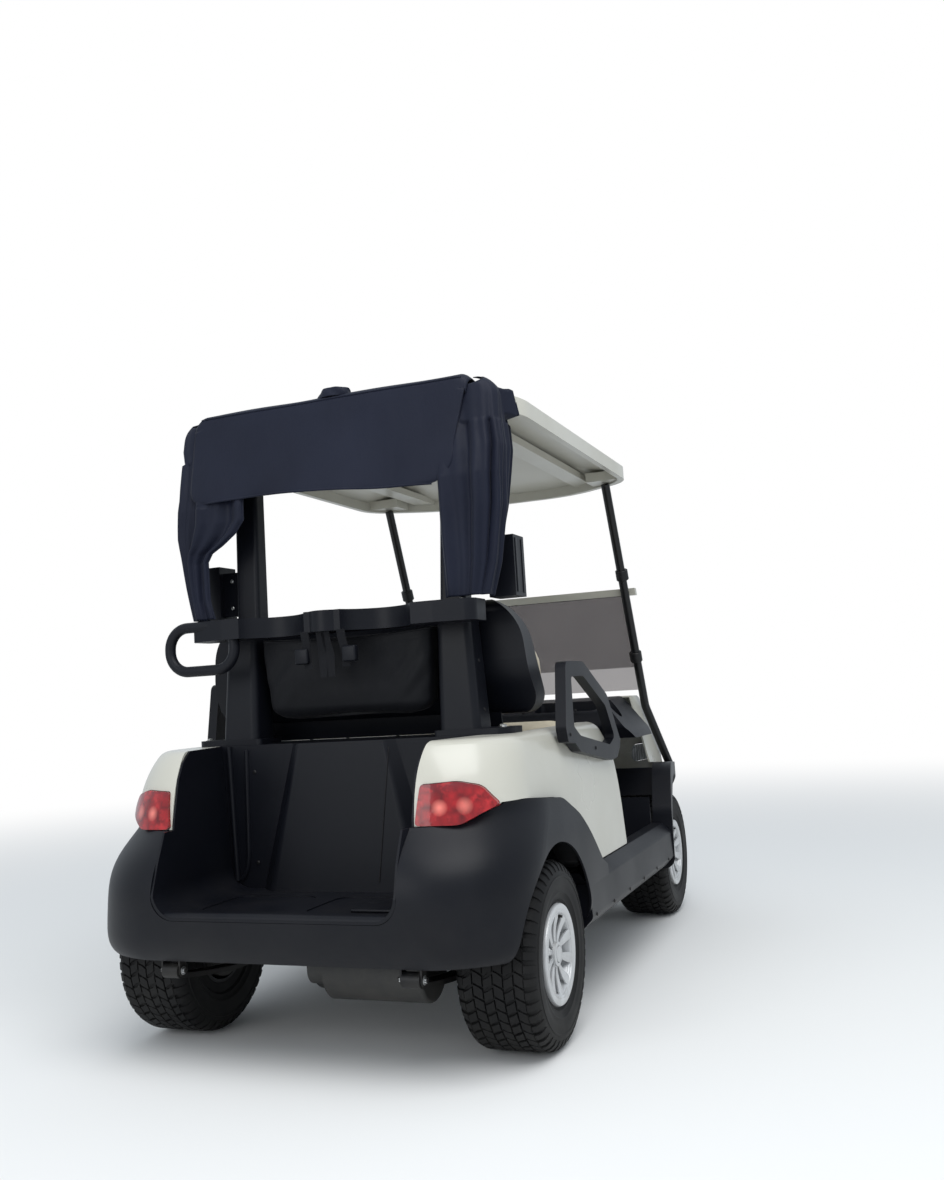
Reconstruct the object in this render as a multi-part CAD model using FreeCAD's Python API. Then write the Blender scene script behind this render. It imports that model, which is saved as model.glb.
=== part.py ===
import FreeCAD, Part
import math
import os

# Two-seat electric golf cart with a fixed roof, a folded windshield, a rear bag deck and a bag cover.
# Millimetres. The front faces -Y, +X is the cart's left side, +Z is up, and the ground is Z = 0.

V = FreeCAD.Vector
X_AXIS = V(1, 0, 0)
Z_AXIS = V(0, 0, 1)

# Driving sizes of the whole cart
overall_length = 2376
body_width = 1200
wheelbase = 1664
rear_overhang = 398
rear_track = 978
front_track = 876
floor_height = 300
deck_height = 775
roof_edge_height = 1630
rear_y = overall_length / 2
front_y = -overall_length / 2
rear_axle_y = rear_y - rear_overhang
front_axle_y = rear_axle_y - wheelbase
half_width = body_width / 2

# Clearances
seat_gap = 0.3
panel_gap = 1.0
running_gap = 0.05
swing_gap = 6

# Wheels
tyre_radius = 228.5
tyre_width = 206
bead_radius = 102
bead_width = 176
cover_radius = 122
cover_spokes = 10
hub_radius = 34
spindle_radius = 15
tyre_wall = 14

# Body shells
shell_wall = 6
arch_radius = 272


def box(x0, x1, y0, y1, z0, z1):
    """A block between two corners."""
    return Part.makeBox(x1 - x0, y1 - y0, z1 - z0, V(x0, y0, z0))


def on_xy(z):
    return lambda a, b: V(a, b, z)


def on_yz(x):
    return lambda a, b: V(x, a, b)


def on_xz(y):
    return lambda a, b: V(a, y, b)


def outline(corners, place):
    """A closed outline through corners (a, b, radius), each one rounded by its own radius."""
    joints = []
    for i, (a, b, radius) in enumerate(corners):
        here = V(a, b, 0)
        back = V(corners[i - 1][0], corners[i - 1][1], 0) - here
        ahead = V(*corners[(i + 1) % len(corners)][:2], 0) - here
        back.normalize()
        ahead.normalize()
        if radius == 0:
            joints.append((here, None, here))
            continue
        half = back.getAngle(ahead) / 2
        bisector = (back + ahead).normalize()
        centre = here + bisector * (radius / math.sin(half))
        reach = radius / math.tan(half)
        joints.append((here + back * reach, centre - bisector * radius, here + ahead * reach))
    edges = []
    for i, (start, middle, end) in enumerate(joints):
        if middle is not None:
            edges.append(Part.Arc(*[place(p.x, p.y) for p in (start, middle, end)]).toShape())
        following = joints[(i + 1) % len(joints)][0]
        if end.distanceToPoint(following) > 1e-4:
            edges.append(Part.LineSegment(place(end.x, end.y), place(following.x, following.y)).toShape())
    return Part.Wire(edges)


def plate(corners, place, along):
    """An outline filled and drawn out along a vector."""
    solid = Part.Face(outline(corners, place)).extrude(along)
    return solid if solid.Volume > 0 else solid.reversed()


def prism_x(corners, x0, x1):
    """A side-view outline (y, z, radius) drawn out across the cart."""
    return plate(corners, on_yz(x0), V(x1 - x0, 0, 0))


def prism_y(corners, y0, y1):
    """A front-view outline (x, z, radius) drawn out along the cart."""
    return plate(corners, on_xz(y0), V(0, y1 - y0, 0))


def prism_z(corners, z0, z1):
    """A plan outline (x, y, radius) drawn upwards."""
    return plate(corners, on_xy(z0), V(0, 0, z1 - z0))


def loft(wires):
    solid = Part.makeLoft(wires, True, False)
    return solid if solid.Volume > 0 else solid.reversed()


def rod(start, end, radius):
    """A round bar between two points."""
    return Part.makeCylinder(radius, (end - start).Length, start, end - start)


def pipe(points, bend, radius):
    """A round bar along straight runs, with a tangent bend of one radius at each inner point."""
    pieces = []
    last = points[0]
    for before, here, after in zip(points, points[1:], points[2:]):
        back = (before - here).normalize()
        ahead = (after - here).normalize()
        half = back.getAngle(ahead) / 2
        reach = bend / math.tan(half)
        centre = here + (back + ahead).normalize() * (bend / math.sin(half))
        start = here + back * reach
        turn_axis = ahead.cross(back).normalize()
        disc = Part.Face(Part.Wire(Part.makeCircle(radius, start, back)))
        pieces.append(rod(last, start, radius))
        pieces.append(disc.revolve(centre, turn_axis, 180 - math.degrees(2 * half)))
        last = here + ahead * reach
    pieces.append(rod(last, points[-1], radius))
    return joined(pieces)


def joined(shapes):
    whole = shapes[0].multiFuse(shapes[1:]) if len(shapes) > 1 else shapes[0]
    return whole.removeSplitter()


def mirrored(shape):
    return shape.mirror(V(0, 0, 0), X_AXIS)


def both_sides(shape):
    """The left piece and its mirror image, as two separate solids."""
    return Part.makeCompound([shape, mirrored(shape)])


def rounded(shape, radius, chosen):
    """Rounds the edges whose middle passes the test."""
    edges = [e for e in shape.Edges if chosen(e.valueAt((e.FirstParameter + e.LastParameter) / 2))]
    return shape.makeFillet(radius, edges)


# Outer form of the two ends of the body

# Sections of the black rear moulding and of the cream panels, from the bottom up
# Columns: height above the bumper's lower edge, side inset, rear inset, corner radius
black_sections = [
    (0, 22, 58, 190),
    (40, 3, 28, 205),
    (110, 0, 4, 245),
    (170, 0, 0, 262),
    (245, 3, 24, 280),
    (383, 22, 92, 285),
]
# Columns: height below the deck, side inset, rear inset, corner radius
cream_sections = [
    (401, 38, 96, 210),
    (275, 38, 100, 210),
    (175, 41, 107, 210),
    (70, 54, 134, 212),
    (0, 76, 182, 214),
]
bumper_low = 262
panel_fillet = 40


def tapered_form(sections, foot_y, inset):
    """The rear end's form through plan sections (z, side, rear, radius), or one a wall's thickness inside it."""
    wires = []
    for z, side_inset, rear_inset, radius in sections:
        side = half_width - side_inset - inset
        tip = rear_y - rear_inset - inset
        corner = radius - inset
        wires.append(outline([(-side, foot_y, 0), (-side, tip, corner), (side, tip, corner), (side, foot_y, 0)], on_xy(z)))
    return loft(wires)


def black_form(inset):
    sections = [(bumper_low + rise, side, rear, radius) for rise, side, rear, radius in black_sections]
    if inset > 0:
        low = sections[0]
        sections[0] = (low[0] - 10, low[1], low[2], low[3])
    return tapered_form(sections, black_front_y - 20, inset)


def cream_form(inset):
    """Cream side, rear corner and deck, with the deck's edge rounded."""
    sections = [(deck_height - drop, side, rear, radius) for drop, side, rear, radius in cream_sections]
    low = sections[0]
    top = sections[-1]
    sections[0] = (low[0] - 2 * inset, low[1], low[2], low[3])
    sections[-1] = (top[0] - inset, top[1], top[2], top[3])
    form = tapered_form(sections, panel_front_y - 60, inset)
    high = deck_height - inset
    return rounded(form, panel_fillet - inset, lambda p: p.z > high - 1 and p.y > panel_front_y - 59)


def front_plan(inset, tip_y, foot_y):
    """Plan outline of the front end: it tapers forward from the sills and is rounded at the nose."""
    taper = (half_width - nose_half) / (sill_front_y + 20 - front_y)
    tip = tip_y + inset
    foot_side = nose_half + taper * (foot_y - front_y) - inset
    tip_side = nose_half + taper * (tip - front_y) - inset
    corner = nose_radius - inset
    return [(-foot_side, foot_y, 0), (-tip_side, tip, corner), (tip_side, tip, corner), (foot_side, foot_y, 0)]


nose_half = 507
nose_radius = 280


# Wheels: tyre, and rim with its spoked cover


def wheel_profile(points):
    """A ring about the X axis from corners (x, r, radius)."""
    face = Part.Face(outline(points, on_xz(0)))
    return face.revolve(V(0, 0, 0), X_AXIS, 360)


def tyre():
    half = tyre_width / 2
    bead = bead_width / 2
    outer = wheel_profile(
        [
            (-bead, bead_radius, 0),
            (-bead, cover_radius + 4, 0),
            (-half, tyre_radius - 68, 30),
            (-half + 8, tyre_radius, 24),
            (half - 8, tyre_radius, 24),
            (half, tyre_radius - 68, 30),
            (bead, cover_radius + 4, 0),
            (bead, bead_radius, 0),
        ]
    )
    inner = wheel_profile(
        [
            (-bead + tyre_wall, bead_radius - 1, 0),
            (-half + tyre_wall, tyre_radius - 68, 0),
            (-half + 3 * tyre_wall, tyre_radius - tyre_wall, 0),
            (half - 3 * tyre_wall, tyre_radius - tyre_wall, 0),
            (half - tyre_wall, tyre_radius - 68, 0),
            (bead - tyre_wall, bead_radius - 1, 0),
        ]
    )
    return outer.cut(inner)


def rim():
    """Barrel, disc, hub and the ten-spoke cover, with the outside face towards +X."""
    lip = bead_width / 2 - seat_gap
    seat = bead_radius - seat_gap
    barrel = wheel_profile(
        [
            (-lip, seat - 8, 0),
            (-lip, seat, 0),
            (lip, seat, 0),
            (lip, seat - 8, 0),
        ]
    )
    disc = wheel_profile(
        [(20, spindle_radius + running_gap, 0), (20, seat - 5, 0), (28, seat - 5, 0), (28, spindle_radius + running_gap, 0)]
    )
    hub = wheel_profile(
        [
            (-25, spindle_radius + running_gap, 0),
            (-25, hub_radius, 0),
            (30, hub_radius, 0),
            (30, spindle_radius + running_gap, 0),
        ]
    )
    ring = wheel_profile(
        [
            (bead_width / 2 + seat_gap, seat - 4, 0),
            (bead_width / 2 + seat_gap, cover_radius, 2),
            (bead_width / 2 + 9, cover_radius - 3, 3),
            (bead_width / 2 + 5, seat - 6, 3),
            (60, seat - 16, 0),
            (60, seat - 6, 0),
        ]
    )
    cap = wheel_profile([(30, 0, 0), (30, 30, 0), (84, 26, 4), (90, 12, 4), (90, 0, 0)])
    spoke = prism_y(
        [(56, 20, 0), (82, 20, 0), (80, 60, 60), (bead_width / 2 + 5, seat - 5, 0), (60, seat - 5, 0)], -6, 6
    )
    spokes = [turned(spoke, 360 / cover_spokes * i) for i in range(cover_spokes)]
    return joined([barrel, disc, hub, ring, cap] + spokes)


def turned(shape, angle):
    copy = shape.copy()
    copy.rotate(V(0, 0, 0), X_AXIS, angle)
    return copy


def placed_wheel(shape, side, track, axle_y):
    """Puts a wheel piece on its axle; the outside face looks away from the cart."""
    put = shape.copy() if side > 0 else mirrored(shape)
    put.translate(V(side * track / 2, axle_y, tyre_radius))
    return put


# Frame: two rails that rise over the rear axle, with cross members

rail_x = 165
rail_width = 40
rail_depth = 62
floor_wall = 8
rail_low = floor_height - floor_wall - seat_gap - rail_depth
rail_kick = 82
rail_front_y = front_y + 126
rail_rear_y = rear_y - 90
kick_start_y = rear_axle_y - 226
kick_end_y = rear_axle_y - 130


def frame_rails():
    low = rail_low
    top = low + rail_depth
    side_view = [
        (rail_front_y, low, 0),
        (kick_start_y, low, 60),
        (kick_end_y, low + rail_kick, 60),
        (rail_rear_y, low + rail_kick, 0),
        (rail_rear_y, top + rail_kick, 0),
        (kick_end_y - 20, top + rail_kick, 60),
        (kick_start_y - 20, top, 60),
        (rail_front_y, top, 0),
    ]
    left = prism_x(side_view, rail_x - rail_width / 2, rail_x + rail_width / 2)
    members = []
    for y, z in cross_members():
        members.append(box(-rail_x, rail_x, y - 20, y + 20, z + member_rise, z + rail_depth - 6))
    rear_beam = box(-390, 390, rail_rear_y - 40, rail_rear_y, low + rail_kick + 6, top + rail_kick - 6)
    holes = [rod(V(x, rail_rear_y - 50, low + rail_kick + 31), V(x, rail_rear_y + 10, low + rail_kick + 31), hitch_hole_radius) for x in (-hitch_spacing / 2, hitch_spacing / 2)]
    front_beam = box(-200, 200, front_axle_y - 35, front_axle_y + 35, low - 30, low + 4)
    hangers = []
    for side in (-1, 1):
        inner = side * (rail_x + rail_width / 2 - 1)
        outer = side * (spring_x + spring_width / 2 + 4)
        x0, x1 = min(inner, outer), max(inner, outer)
        front_eye = shackle_z + bush_radius + seat_gap
        rear_eye = shackle_z + shackle_link + bush_radius - 4 + seat_gap
        hangers.append(box(x0, x1, spring_front_y - 20, spring_front_y + 20, front_eye, top))
        hangers.append(box(x0, x1, rail_rear_y - 5, shackle_y + 20, rear_eye, top + rail_kick - 6))
    for x, _, _, top_y, top_z in damper_places():
        stud = box(rail_x, x - damper_eye / 2 - seat_gap, top_y - 14, top_y + 14, top_z - 14, top_z + 14)
        tower = box(rail_x - 12, rail_x + rail_width / 2, top_y - 18, top_y + 18, top - 10, max(top_z, top) + 14)
        hangers += [stud, mirrored(stud), tower, mirrored(tower)]
    return joined([left, mirrored(left), rear_beam, front_beam] + members + hangers).cut(holes)


member_rise = 12
hitch_spacing = 100
hitch_hole_radius = 5.5


def cross_members():
    """Place (y, z of the rail's underside) of each cross member."""
    return [
        (rail_front_y + 20, rail_low),
        (rack_y, rail_low),
        (-430, rail_low),
        (60, rail_low),
        (kick_end_y + 60, rail_low + rail_kick),
    ]


# Rear running gear

spring_x = 331
spring_width = 46
spring_leaf = 12
axle_tube_radius = 36
shackle_y = rear_y - 78
shackle_z = 237
bush_radius = 19
shackle_link = 46
spring_front_y = 2 * rear_axle_y - shackle_y
drum_radius = 84
housing_radius = 104


def leaf_springs():
    """One long leaf each side, clamped under the axle, with a rolled eye at each end and the rear shackle."""
    seat = tyre_radius - axle_tube_radius - seat_gap
    middle = seat - spring_leaf
    rise = shackle_z - middle - bush_radius
    top = [
        V(0, spring_front_y, seat + rise),
        V(0, (spring_front_y + rear_axle_y) / 2 - 30, seat + rise * 0.42),
        V(0, rear_axle_y - 60, seat),
    ]
    low = Part.Arc(V(0, spring_front_y, middle + rise), V(0, top[1].y, top[1].z - spring_leaf), V(0, rear_axle_y - 60, middle))
    high = Part.Arc(*top)
    band = Part.Face(
        Part.Wire(
            [
                high.toShape(),
                Part.makeLine(high.EndPoint, low.EndPoint),
                low.toShape(),
                Part.makeLine(low.StartPoint, high.StartPoint),
            ]
        )
    ).extrude(V(spring_width, 0, 0))
    back = band.mirror(V(0, rear_axle_y, 0), V(0, 1, 0))
    flat = box(0, spring_width, rear_axle_y - 60, rear_axle_y + 60, middle, seat)
    eyes = []
    for y in (spring_front_y, 2 * rear_axle_y - spring_front_y):
        eye_z = middle + rise + bush_radius
        eyes.append(rod(V(0, y, eye_z), V(spring_width, y, eye_z), bush_radius))
    link_z = shackle_z + shackle_link
    link = [
        (shackle_y - 14, shackle_z - 14, 12),
        (shackle_y + 12, shackle_z - 14, 12),
        (shackle_y + 12, link_z + 12, 12),
        (shackle_y - 14, link_z + 12, 12),
    ]
    cheeks = [prism_x(link, -5, 0), prism_x(link, spring_width, spring_width + 5)]
    upper_bush = rod(V(0, shackle_y - 1, link_z), V(spring_width, shackle_y - 1, link_z), bush_radius - 4)
    bolts = [
        rod(V(-14, shackle_y - 1, z), V(spring_width + 14, shackle_y - 1, z), 6) for z in (shackle_z, link_z)
    ]
    spring = joined([band, back, flat, upper_bush] + eyes + cheeks + bolts)
    spring.translate(V(spring_x - spring_width / 2, 0, 0))
    return both_sides(spring)


def rear_axle():
    """Axle tubes, differential housing and the brake drums inside the wheels."""
    tube = rod(V(-rear_track / 2 + 60, rear_axle_y, tyre_radius), V(rear_track / 2 - 60, rear_axle_y, tyre_radius), axle_tube_radius)
    housing = rod(V(-30, rear_axle_y, tyre_radius), V(96, rear_axle_y, tyre_radius), housing_radius)
    housing = housing.makeChamfer(26, [e for e in housing.Edges if e.isClosed()])
    input_case = prism_x(
        [
            (rear_axle_y - 20, tyre_radius - 60, 20),
            (motor_y + 70, tyre_radius - 50, 40),
            (motor_y + 70, motor_z + 70, 40),
            (rear_axle_y - 20, tyre_radius + 90, 20),
        ],
        -30,
        20,
    )
    drum_in = rear_track / 2 - bead_width / 2 + 8
    ends = []
    for side in (-1, 1):
        ends.append(
            rod(
                V(side * (drum_in - 18), rear_axle_y, tyre_radius),
                V(side * (drum_in + 44), rear_axle_y, tyre_radius),
                drum_radius,
            )
        )
        ends.append(
            rod(
                V(side * drum_in, rear_axle_y, tyre_radius),
                V(side * (rear_track / 2 + 28), rear_axle_y, tyre_radius),
                spindle_radius,
            )
        )
    x, y, z = damper_places()[0][:3]
    for cheek_x in (x - damper_eye / 2 - seat_gap - 6, x + damper_eye / 2 + seat_gap):
        cheek = box(cheek_x, cheek_x + 6, y - 13, rear_axle_y - 20, z - 12, z + 12)
        ends += [cheek, mirrored(cheek)]
    return joined([tube, housing, input_case] + ends)


motor_y = rear_axle_y + 128
motor_z = tyre_radius - 10
motor_radius = 84
motor_length = 270


def motor():
    body = rod(V(-30 - seat_gap - motor_length, motor_y, motor_z), V(-30 - seat_gap, motor_y, motor_z), motor_radius)
    return rounded(body, 10, lambda p: p.x < -200)


def dampers():
    """Rear and front dampers: a thick lower body and a thin rod."""
    shapes = []
    for x, y, z, top_y, top_z in damper_places():
        low = V(x, y, z)
        high = V(x, top_y, top_z)
        body_start = low + (high - low).normalize() * 38
        middle = low + (high - low) * 0.65
        eyes = [rod(p - X_AXIS * damper_eye / 2, p + X_AXIS * damper_eye / 2, 13) for p in (low, high)]
        shapes.append(joined([rod(low, high, 9), rod(body_start, middle, 21)] + eyes))
    return Part.makeCompound([s for shape in shapes for s in (shape, mirrored(shape))])


damper_eye = 28


def damper_places():
    """x, then y and z of the lower eye, then y and z of the upper eye."""
    arm_top = tyre_radius + knuckle_half + running_gap + arm_thickness
    return [
        (252, rear_axle_y - 62, 236, rear_axle_y - 110, rail_low + rail_kick + 40),
        (252, front_axle_y + 50, arm_top + 13 + seat_gap, front_axle_y + 50, 440),
    ]


# Front running gear

kingpin_x = 340
kingpin_radius = 13
knuckle_half = 46
arm_thickness = 16


def front_suspension():
    """Lower and upper arms with the kingpin between their ends, and the rack housing."""
    arms = []
    ear = knuckle_half + running_gap
    for low in (tyre_radius - ear - arm_thickness, tyre_radius + ear):
        arms.append(
            prism_z(
                [
                    (rail_x + rail_width / 2, front_axle_y - 78, 0),
                    (kingpin_x + 20, front_axle_y - 22, 18),
                    (kingpin_x + 20, front_axle_y + 22, 18),
                    (rail_x + rail_width / 2, front_axle_y + 78, 0),
                ],
                low,
                low + arm_thickness,
            ).cut(
                prism_z(
                    [
                        (rail_x + rail_width / 2 - 1, front_axle_y - 54, 0),
                        (kingpin_x - 30, front_axle_y - 14, 10),
                        (kingpin_x - 30, front_axle_y + 14, 10),
                        (rail_x + rail_width / 2 - 1, front_axle_y + 54, 0),
                    ],
                    low - 1,
                    low + arm_thickness + 1,
                )
            )
        )
    pin = rod(
        V(kingpin_x, front_axle_y, tyre_radius - ear - arm_thickness - 6),
        V(kingpin_x, front_axle_y, tyre_radius + ear + arm_thickness + 6),
        kingpin_radius,
    )
    side = joined(arms + [pin])
    rack = rod(V(-150, rack_y, rack_z), V(150, rack_y, rack_z), 24)
    rack = rack.cut(rod(V(-151, rack_y, rack_z), V(151, rack_y, rack_z), rack_bar_radius + running_gap))
    bar_room = rod(V(-151, rack_y, rack_z), V(151, rack_y, rack_z), rack_bar_radius + 2)
    top = rail_low + member_rise - seat_gap
    feet = [box(x - 12, x + 12, rack_y - 16, rack_y + 16, rack_z, top).cut(bar_room) for x in (-110, 110)]
    return Part.makeCompound([side, mirrored(side), joined([rack] + feet)])


steer_arm = 96
steer_arm_lean = 30
rack_y = front_axle_y + steer_arm
rack_z = 190
rack_bar_radius = 11


def steering_rods():
    """The rack bar and its two tie rods, which slide together."""
    eye_x = kingpin_x - steer_arm_lean
    bar = rod(V(-eye_x, rack_y, rack_z), V(eye_x, rack_y, rack_z), rack_bar_radius)
    eyes = [rod(V(x, rack_y, rack_z - 12), V(x, rack_y, rack_z + 12), 13) for x in (-eye_x, eye_x)]
    return joined([bar] + eyes)


def knuckle():
    """Kingpin barrel, stub axle and steering arm, for the left side."""
    barrel = rod(V(kingpin_x, front_axle_y, tyre_radius - knuckle_half), V(kingpin_x, front_axle_y, tyre_radius + knuckle_half), kingpin_radius + 9)
    stub = rod(V(kingpin_x, front_axle_y, tyre_radius), V(front_track / 2 + 28, front_axle_y, tyre_radius), spindle_radius)
    flange = rod(V(kingpin_x + 10, front_axle_y, tyre_radius), V(front_track / 2 - 30, front_axle_y, tyre_radius), 24)
    arm = prism_z(
        [
            (kingpin_x - 22, front_axle_y, 0),
            (kingpin_x + 6, front_axle_y, 0),
            (kingpin_x - steer_arm_lean + 14, rack_y + 14, 12),
            (kingpin_x - steer_arm_lean - 14, rack_y + 14, 12),
        ],
        tyre_radius - 20,
        tyre_radius - 8,
    )
    whole = joined([barrel, stub, flange, arm])
    bore = rod(V(kingpin_x, front_axle_y, 0), V(kingpin_x, front_axle_y, 2 * tyre_radius), kingpin_radius + running_gap)
    return whole.cut(bore)


# Floor, mat and sills

floor_half = 520
floor_front_y = -560
kick_front_y = -800
kick_top = 560
foot_half = 222
seat_front_y = -10
pod_floor_y = 60


def floor_pan():
    """Flat floor with a narrow toe board that rises between the front wheels."""
    flat = box(-floor_half, floor_half, floor_front_y, pod_floor_y, floor_height - floor_wall, floor_height)
    toe = prism_x(
        [
            (floor_front_y + 1, floor_height - floor_wall, 0),
            (floor_front_y + 1, floor_height, 0),
            (floor_front_y - 60, floor_height, 90),
            (kick_front_y + floor_wall, kick_top, 0),
            (kick_front_y, kick_top, 0),
            (floor_front_y - 62, floor_height - floor_wall, 90),
        ],
        -floor_half,
        floor_half,
    )
    front_view = [(x, z, 0) for x, z in toe_half_widths()]
    front_view += [(-x, z, 0) for x, z, _ in reversed(front_view)]
    toe = toe.common(prism_y(front_view, kick_front_y - 1, floor_front_y + 2))
    high = 2 * tyre_radius + swing_gap + floor_wall
    wall = box(foot_half - 6, floor_half, floor_front_y - 6, floor_front_y + 1, floor_height - floor_wall, high)
    return joined([flat, toe, wall, mirrored(wall)])


def toe_half_widths():
    """Half-width and height of the toe board, kept clear of the steered tyres."""
    return [
        (foot_half, floor_height - floor_wall - 1),
        (foot_half, floor_height + 10),
        (262, floor_height + 118),
        (276, floor_height + 140),
        (276, 2 * tyre_radius + swing_gap),
        (floor_half, 2 * tyre_radius + swing_gap),
        (floor_half, kick_top + 1),
    ]


def floor_mat():
    """Rubber mat with long raised ribs."""
    low = floor_height + seat_gap
    mat = prism_z(
        [
            (-floor_half + 30, floor_front_y + 12, 30),
            (floor_half - 30, floor_front_y + 12, 30),
            (floor_half - 30, seat_front_y - 30, 30),
            (-floor_half + 30, seat_front_y - 30, 30),
        ],
        low,
        low + 5,
    )
    count = 14
    pitch = (2 * floor_half - 160) / (count - 1)
    ribs = [
        box(-floor_half + 80 + pitch * i - 8, -floor_half + 80 + pitch * i + 8, floor_front_y + 40, seat_front_y - 60, low + 4, low + 8)
        for i in range(count)
    ]
    return joined([mat] + ribs)


sill_low = 224
sill_rear_y = 512
sill_front_y = -568
panel_low = 382


def sill_section(grow):
    """Front view of the left rocker: its top slopes outwards from below the cream panel."""
    inner = floor_half + panel_gap - grow
    high = panel_low - 4 + grow
    return [
        (inner, sill_low + 6 - grow, 4),
        (inner, high, 0),
        (half_width - 38 + grow, high, 4),
        (half_width - 10 + grow, high - 32, 10),
        (half_width - 6 + grow, sill_low + 34, 20),
        (half_width - 40, sill_low - grow, 16),
    ]


def sills():
    """Rocker mouldings that close the body's side between the two arches."""
    return both_sides(prism_y(sill_section(0), sill_front_y, sill_rear_y))


# Rear body: black bumper and arches, cream quarter panels, bag well and tail lights

black_top = 622
black_front_y = 346
arch_foot_y = sill_rear_y
well_front_y = 775
well_floor = 380
well_lip = 13
well_side_gap = 13
deck_half = 400
lamp_low = 580
lamp_proud = 8


def black_side_view(grow):
    """Side view of the black rear moulding, with the ear that laps over the sill."""
    front = black_front_y - grow
    ear_low = panel_low - 34
    return [
        (arch_foot_y - grow, bumper_low - 1, 0),
        (arch_foot_y - grow, ear_low, 0),
        (front, ear_low, 0),
        (front, ear_low + 30 + grow, 8),
        (front + 46, ear_low + 50 + grow, 50),
        (560, black_top - 74 + grow, 150),
        (660, black_top - 22 + grow, 150),
        (900, black_top + grow, 400),
        (rear_y + 40, black_top + grow, 0),
        (rear_y + 40, bumper_low - 1, 0),
    ]


def black_rear_view(grow):
    """Rear view of the same moulding: its top edge drops below the tail lights and the well."""
    high = black_top + 100
    half = [
        (half_width + 1, bumper_low - 1, 0),
        (half_width + 1, high, 0),
        (530, high, 0),
        (524, black_top - 3 + grow, 10),
        (450, lamp_low + grow, 50),
    ]
    return half + [(-x, z, radius) for x, z, radius in reversed(half)]


def black_region(grow, start_y):
    """Space that the black moulding takes up, seen from the side and from behind."""
    side = prism_x(black_side_view(grow), -half_width - 1, half_width + 1)
    return side.common(prism_y(black_rear_view(grow), start_y, rear_y + 41))


def well_form(inset):
    """The bag well's form: it narrows towards its rear opening."""
    low_front = rear_track / 2 - tyre_width / 2 - well_side_gap
    wires = []
    for y, low_half, top_half in ((well_front_y - shell_wall + inset, low_front, deck_half), (rear_y + 10, 338, 313)):
        wires.append(
            outline(
                [
                    (-top_half + inset, deck_height + 20, 0),
                    (-low_half + inset, well_floor - shell_wall - panel_gap + inset, 60),
                    (low_half - inset, well_floor - shell_wall - panel_gap + inset, 60),
                    (top_half - inset, deck_height + 20, 0),
                ],
                on_xz(y),
            )
        )
    return loft(wires)


def wheel_openings(axle_y, radius):
    depth = 260
    cut = rod(V(half_width + 10, axle_y, tyre_radius), V(half_width - depth, axle_y, tyre_radius), radius)
    return [cut, mirrored(cut)]


def rear_body():
    """Bumper and both rear arches in one moulding, open below and inside."""
    outer = black_form(0).common(black_region(0, 0))
    inner = black_form(shell_wall).common(black_region(-shell_wall, 0))
    body = outer.cut(inner)
    throat = box(-floor_half, floor_half, arch_foot_y - 1, arch_foot_y + shell_wall + 1, 0, panel_low)
    pod_room = box(-pod_half - 1, pod_half + 1, 0, pod_rear_y + 1, 0, deck_height)
    sill_room = prism_y(sill_section(panel_gap), sill_front_y, arch_foot_y)
    body = body.cut(wheel_openings(rear_axle_y, arch_radius))
    body = body.cut([well_form(0), throat, pod_room, sill_room, mirrored(sill_room)])
    return biggest(body)


def biggest(shape):
    return max(shape.Solids, key=lambda s: s.Volume)


panel_front_y = -34


def quarter_panel():
    """Left cream panel: side, rear corner and top of the deck as one skin."""
    high = deck_height + 1
    skin = cream_form(0).cut(cream_form(shell_wall))
    side_view = prism_x(
        [
            (panel_front_y, panel_low, 6),
            (panel_front_y + 71, 654, 20),
            (seat_front_y + 130, high, 0),
            (rear_y + 1, high, 0),
            (rear_y + 1, panel_low, 0),
        ],
        0,
        half_width,
    )
    skin = skin.common(side_view)
    deck_room = box(-1, deck_half + panel_gap, seat_hole_rear_y - 1, well_front_y, deck_height - 60, high)
    seat_hole = box(-1, seat_opening_half, -100, seat_hole_rear_y, panel_low - 1, high)
    skin = skin.cut([black_region(panel_gap, 0), well_form(0), deck_room, seat_hole])
    return biggest(skin.cut(lamp_pocket()))


seat_opening_half = 470
seat_hole_rear_y = 640


def lamp_outline(grow):
    """Rear view of the left tail light: square at the well, drawn to a point at the side."""
    return [
        (346 - grow, lamp_low + 3 - grow, 8),
        (455, lamp_low + 1 - grow, 60),
        (526 + grow, lamp_low + 39, 10),
        (490, lamp_low + 87 + grow, 40),
        (440, lamp_low + 100 + grow, 80),
        (357 - grow, lamp_low + 96 + grow, 8),
    ]


def lamp_pocket():
    return prism_y(lamp_outline(panel_gap), lamp_tip_y - panel_gap, rear_y + 1)


lamp_tip_y = 975


def tail_lights():
    """Red lenses that wrap the rear corners, a little proud of the panel."""
    wrap = cream_form(-lamp_proud).cut(cream_form(2 * shell_wall))
    lens = prism_y(lamp_outline(0), lamp_tip_y, rear_y + 1).common(wrap)
    return both_sides(biggest(lens.cut(black_region(seat_gap, 0))))


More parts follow.
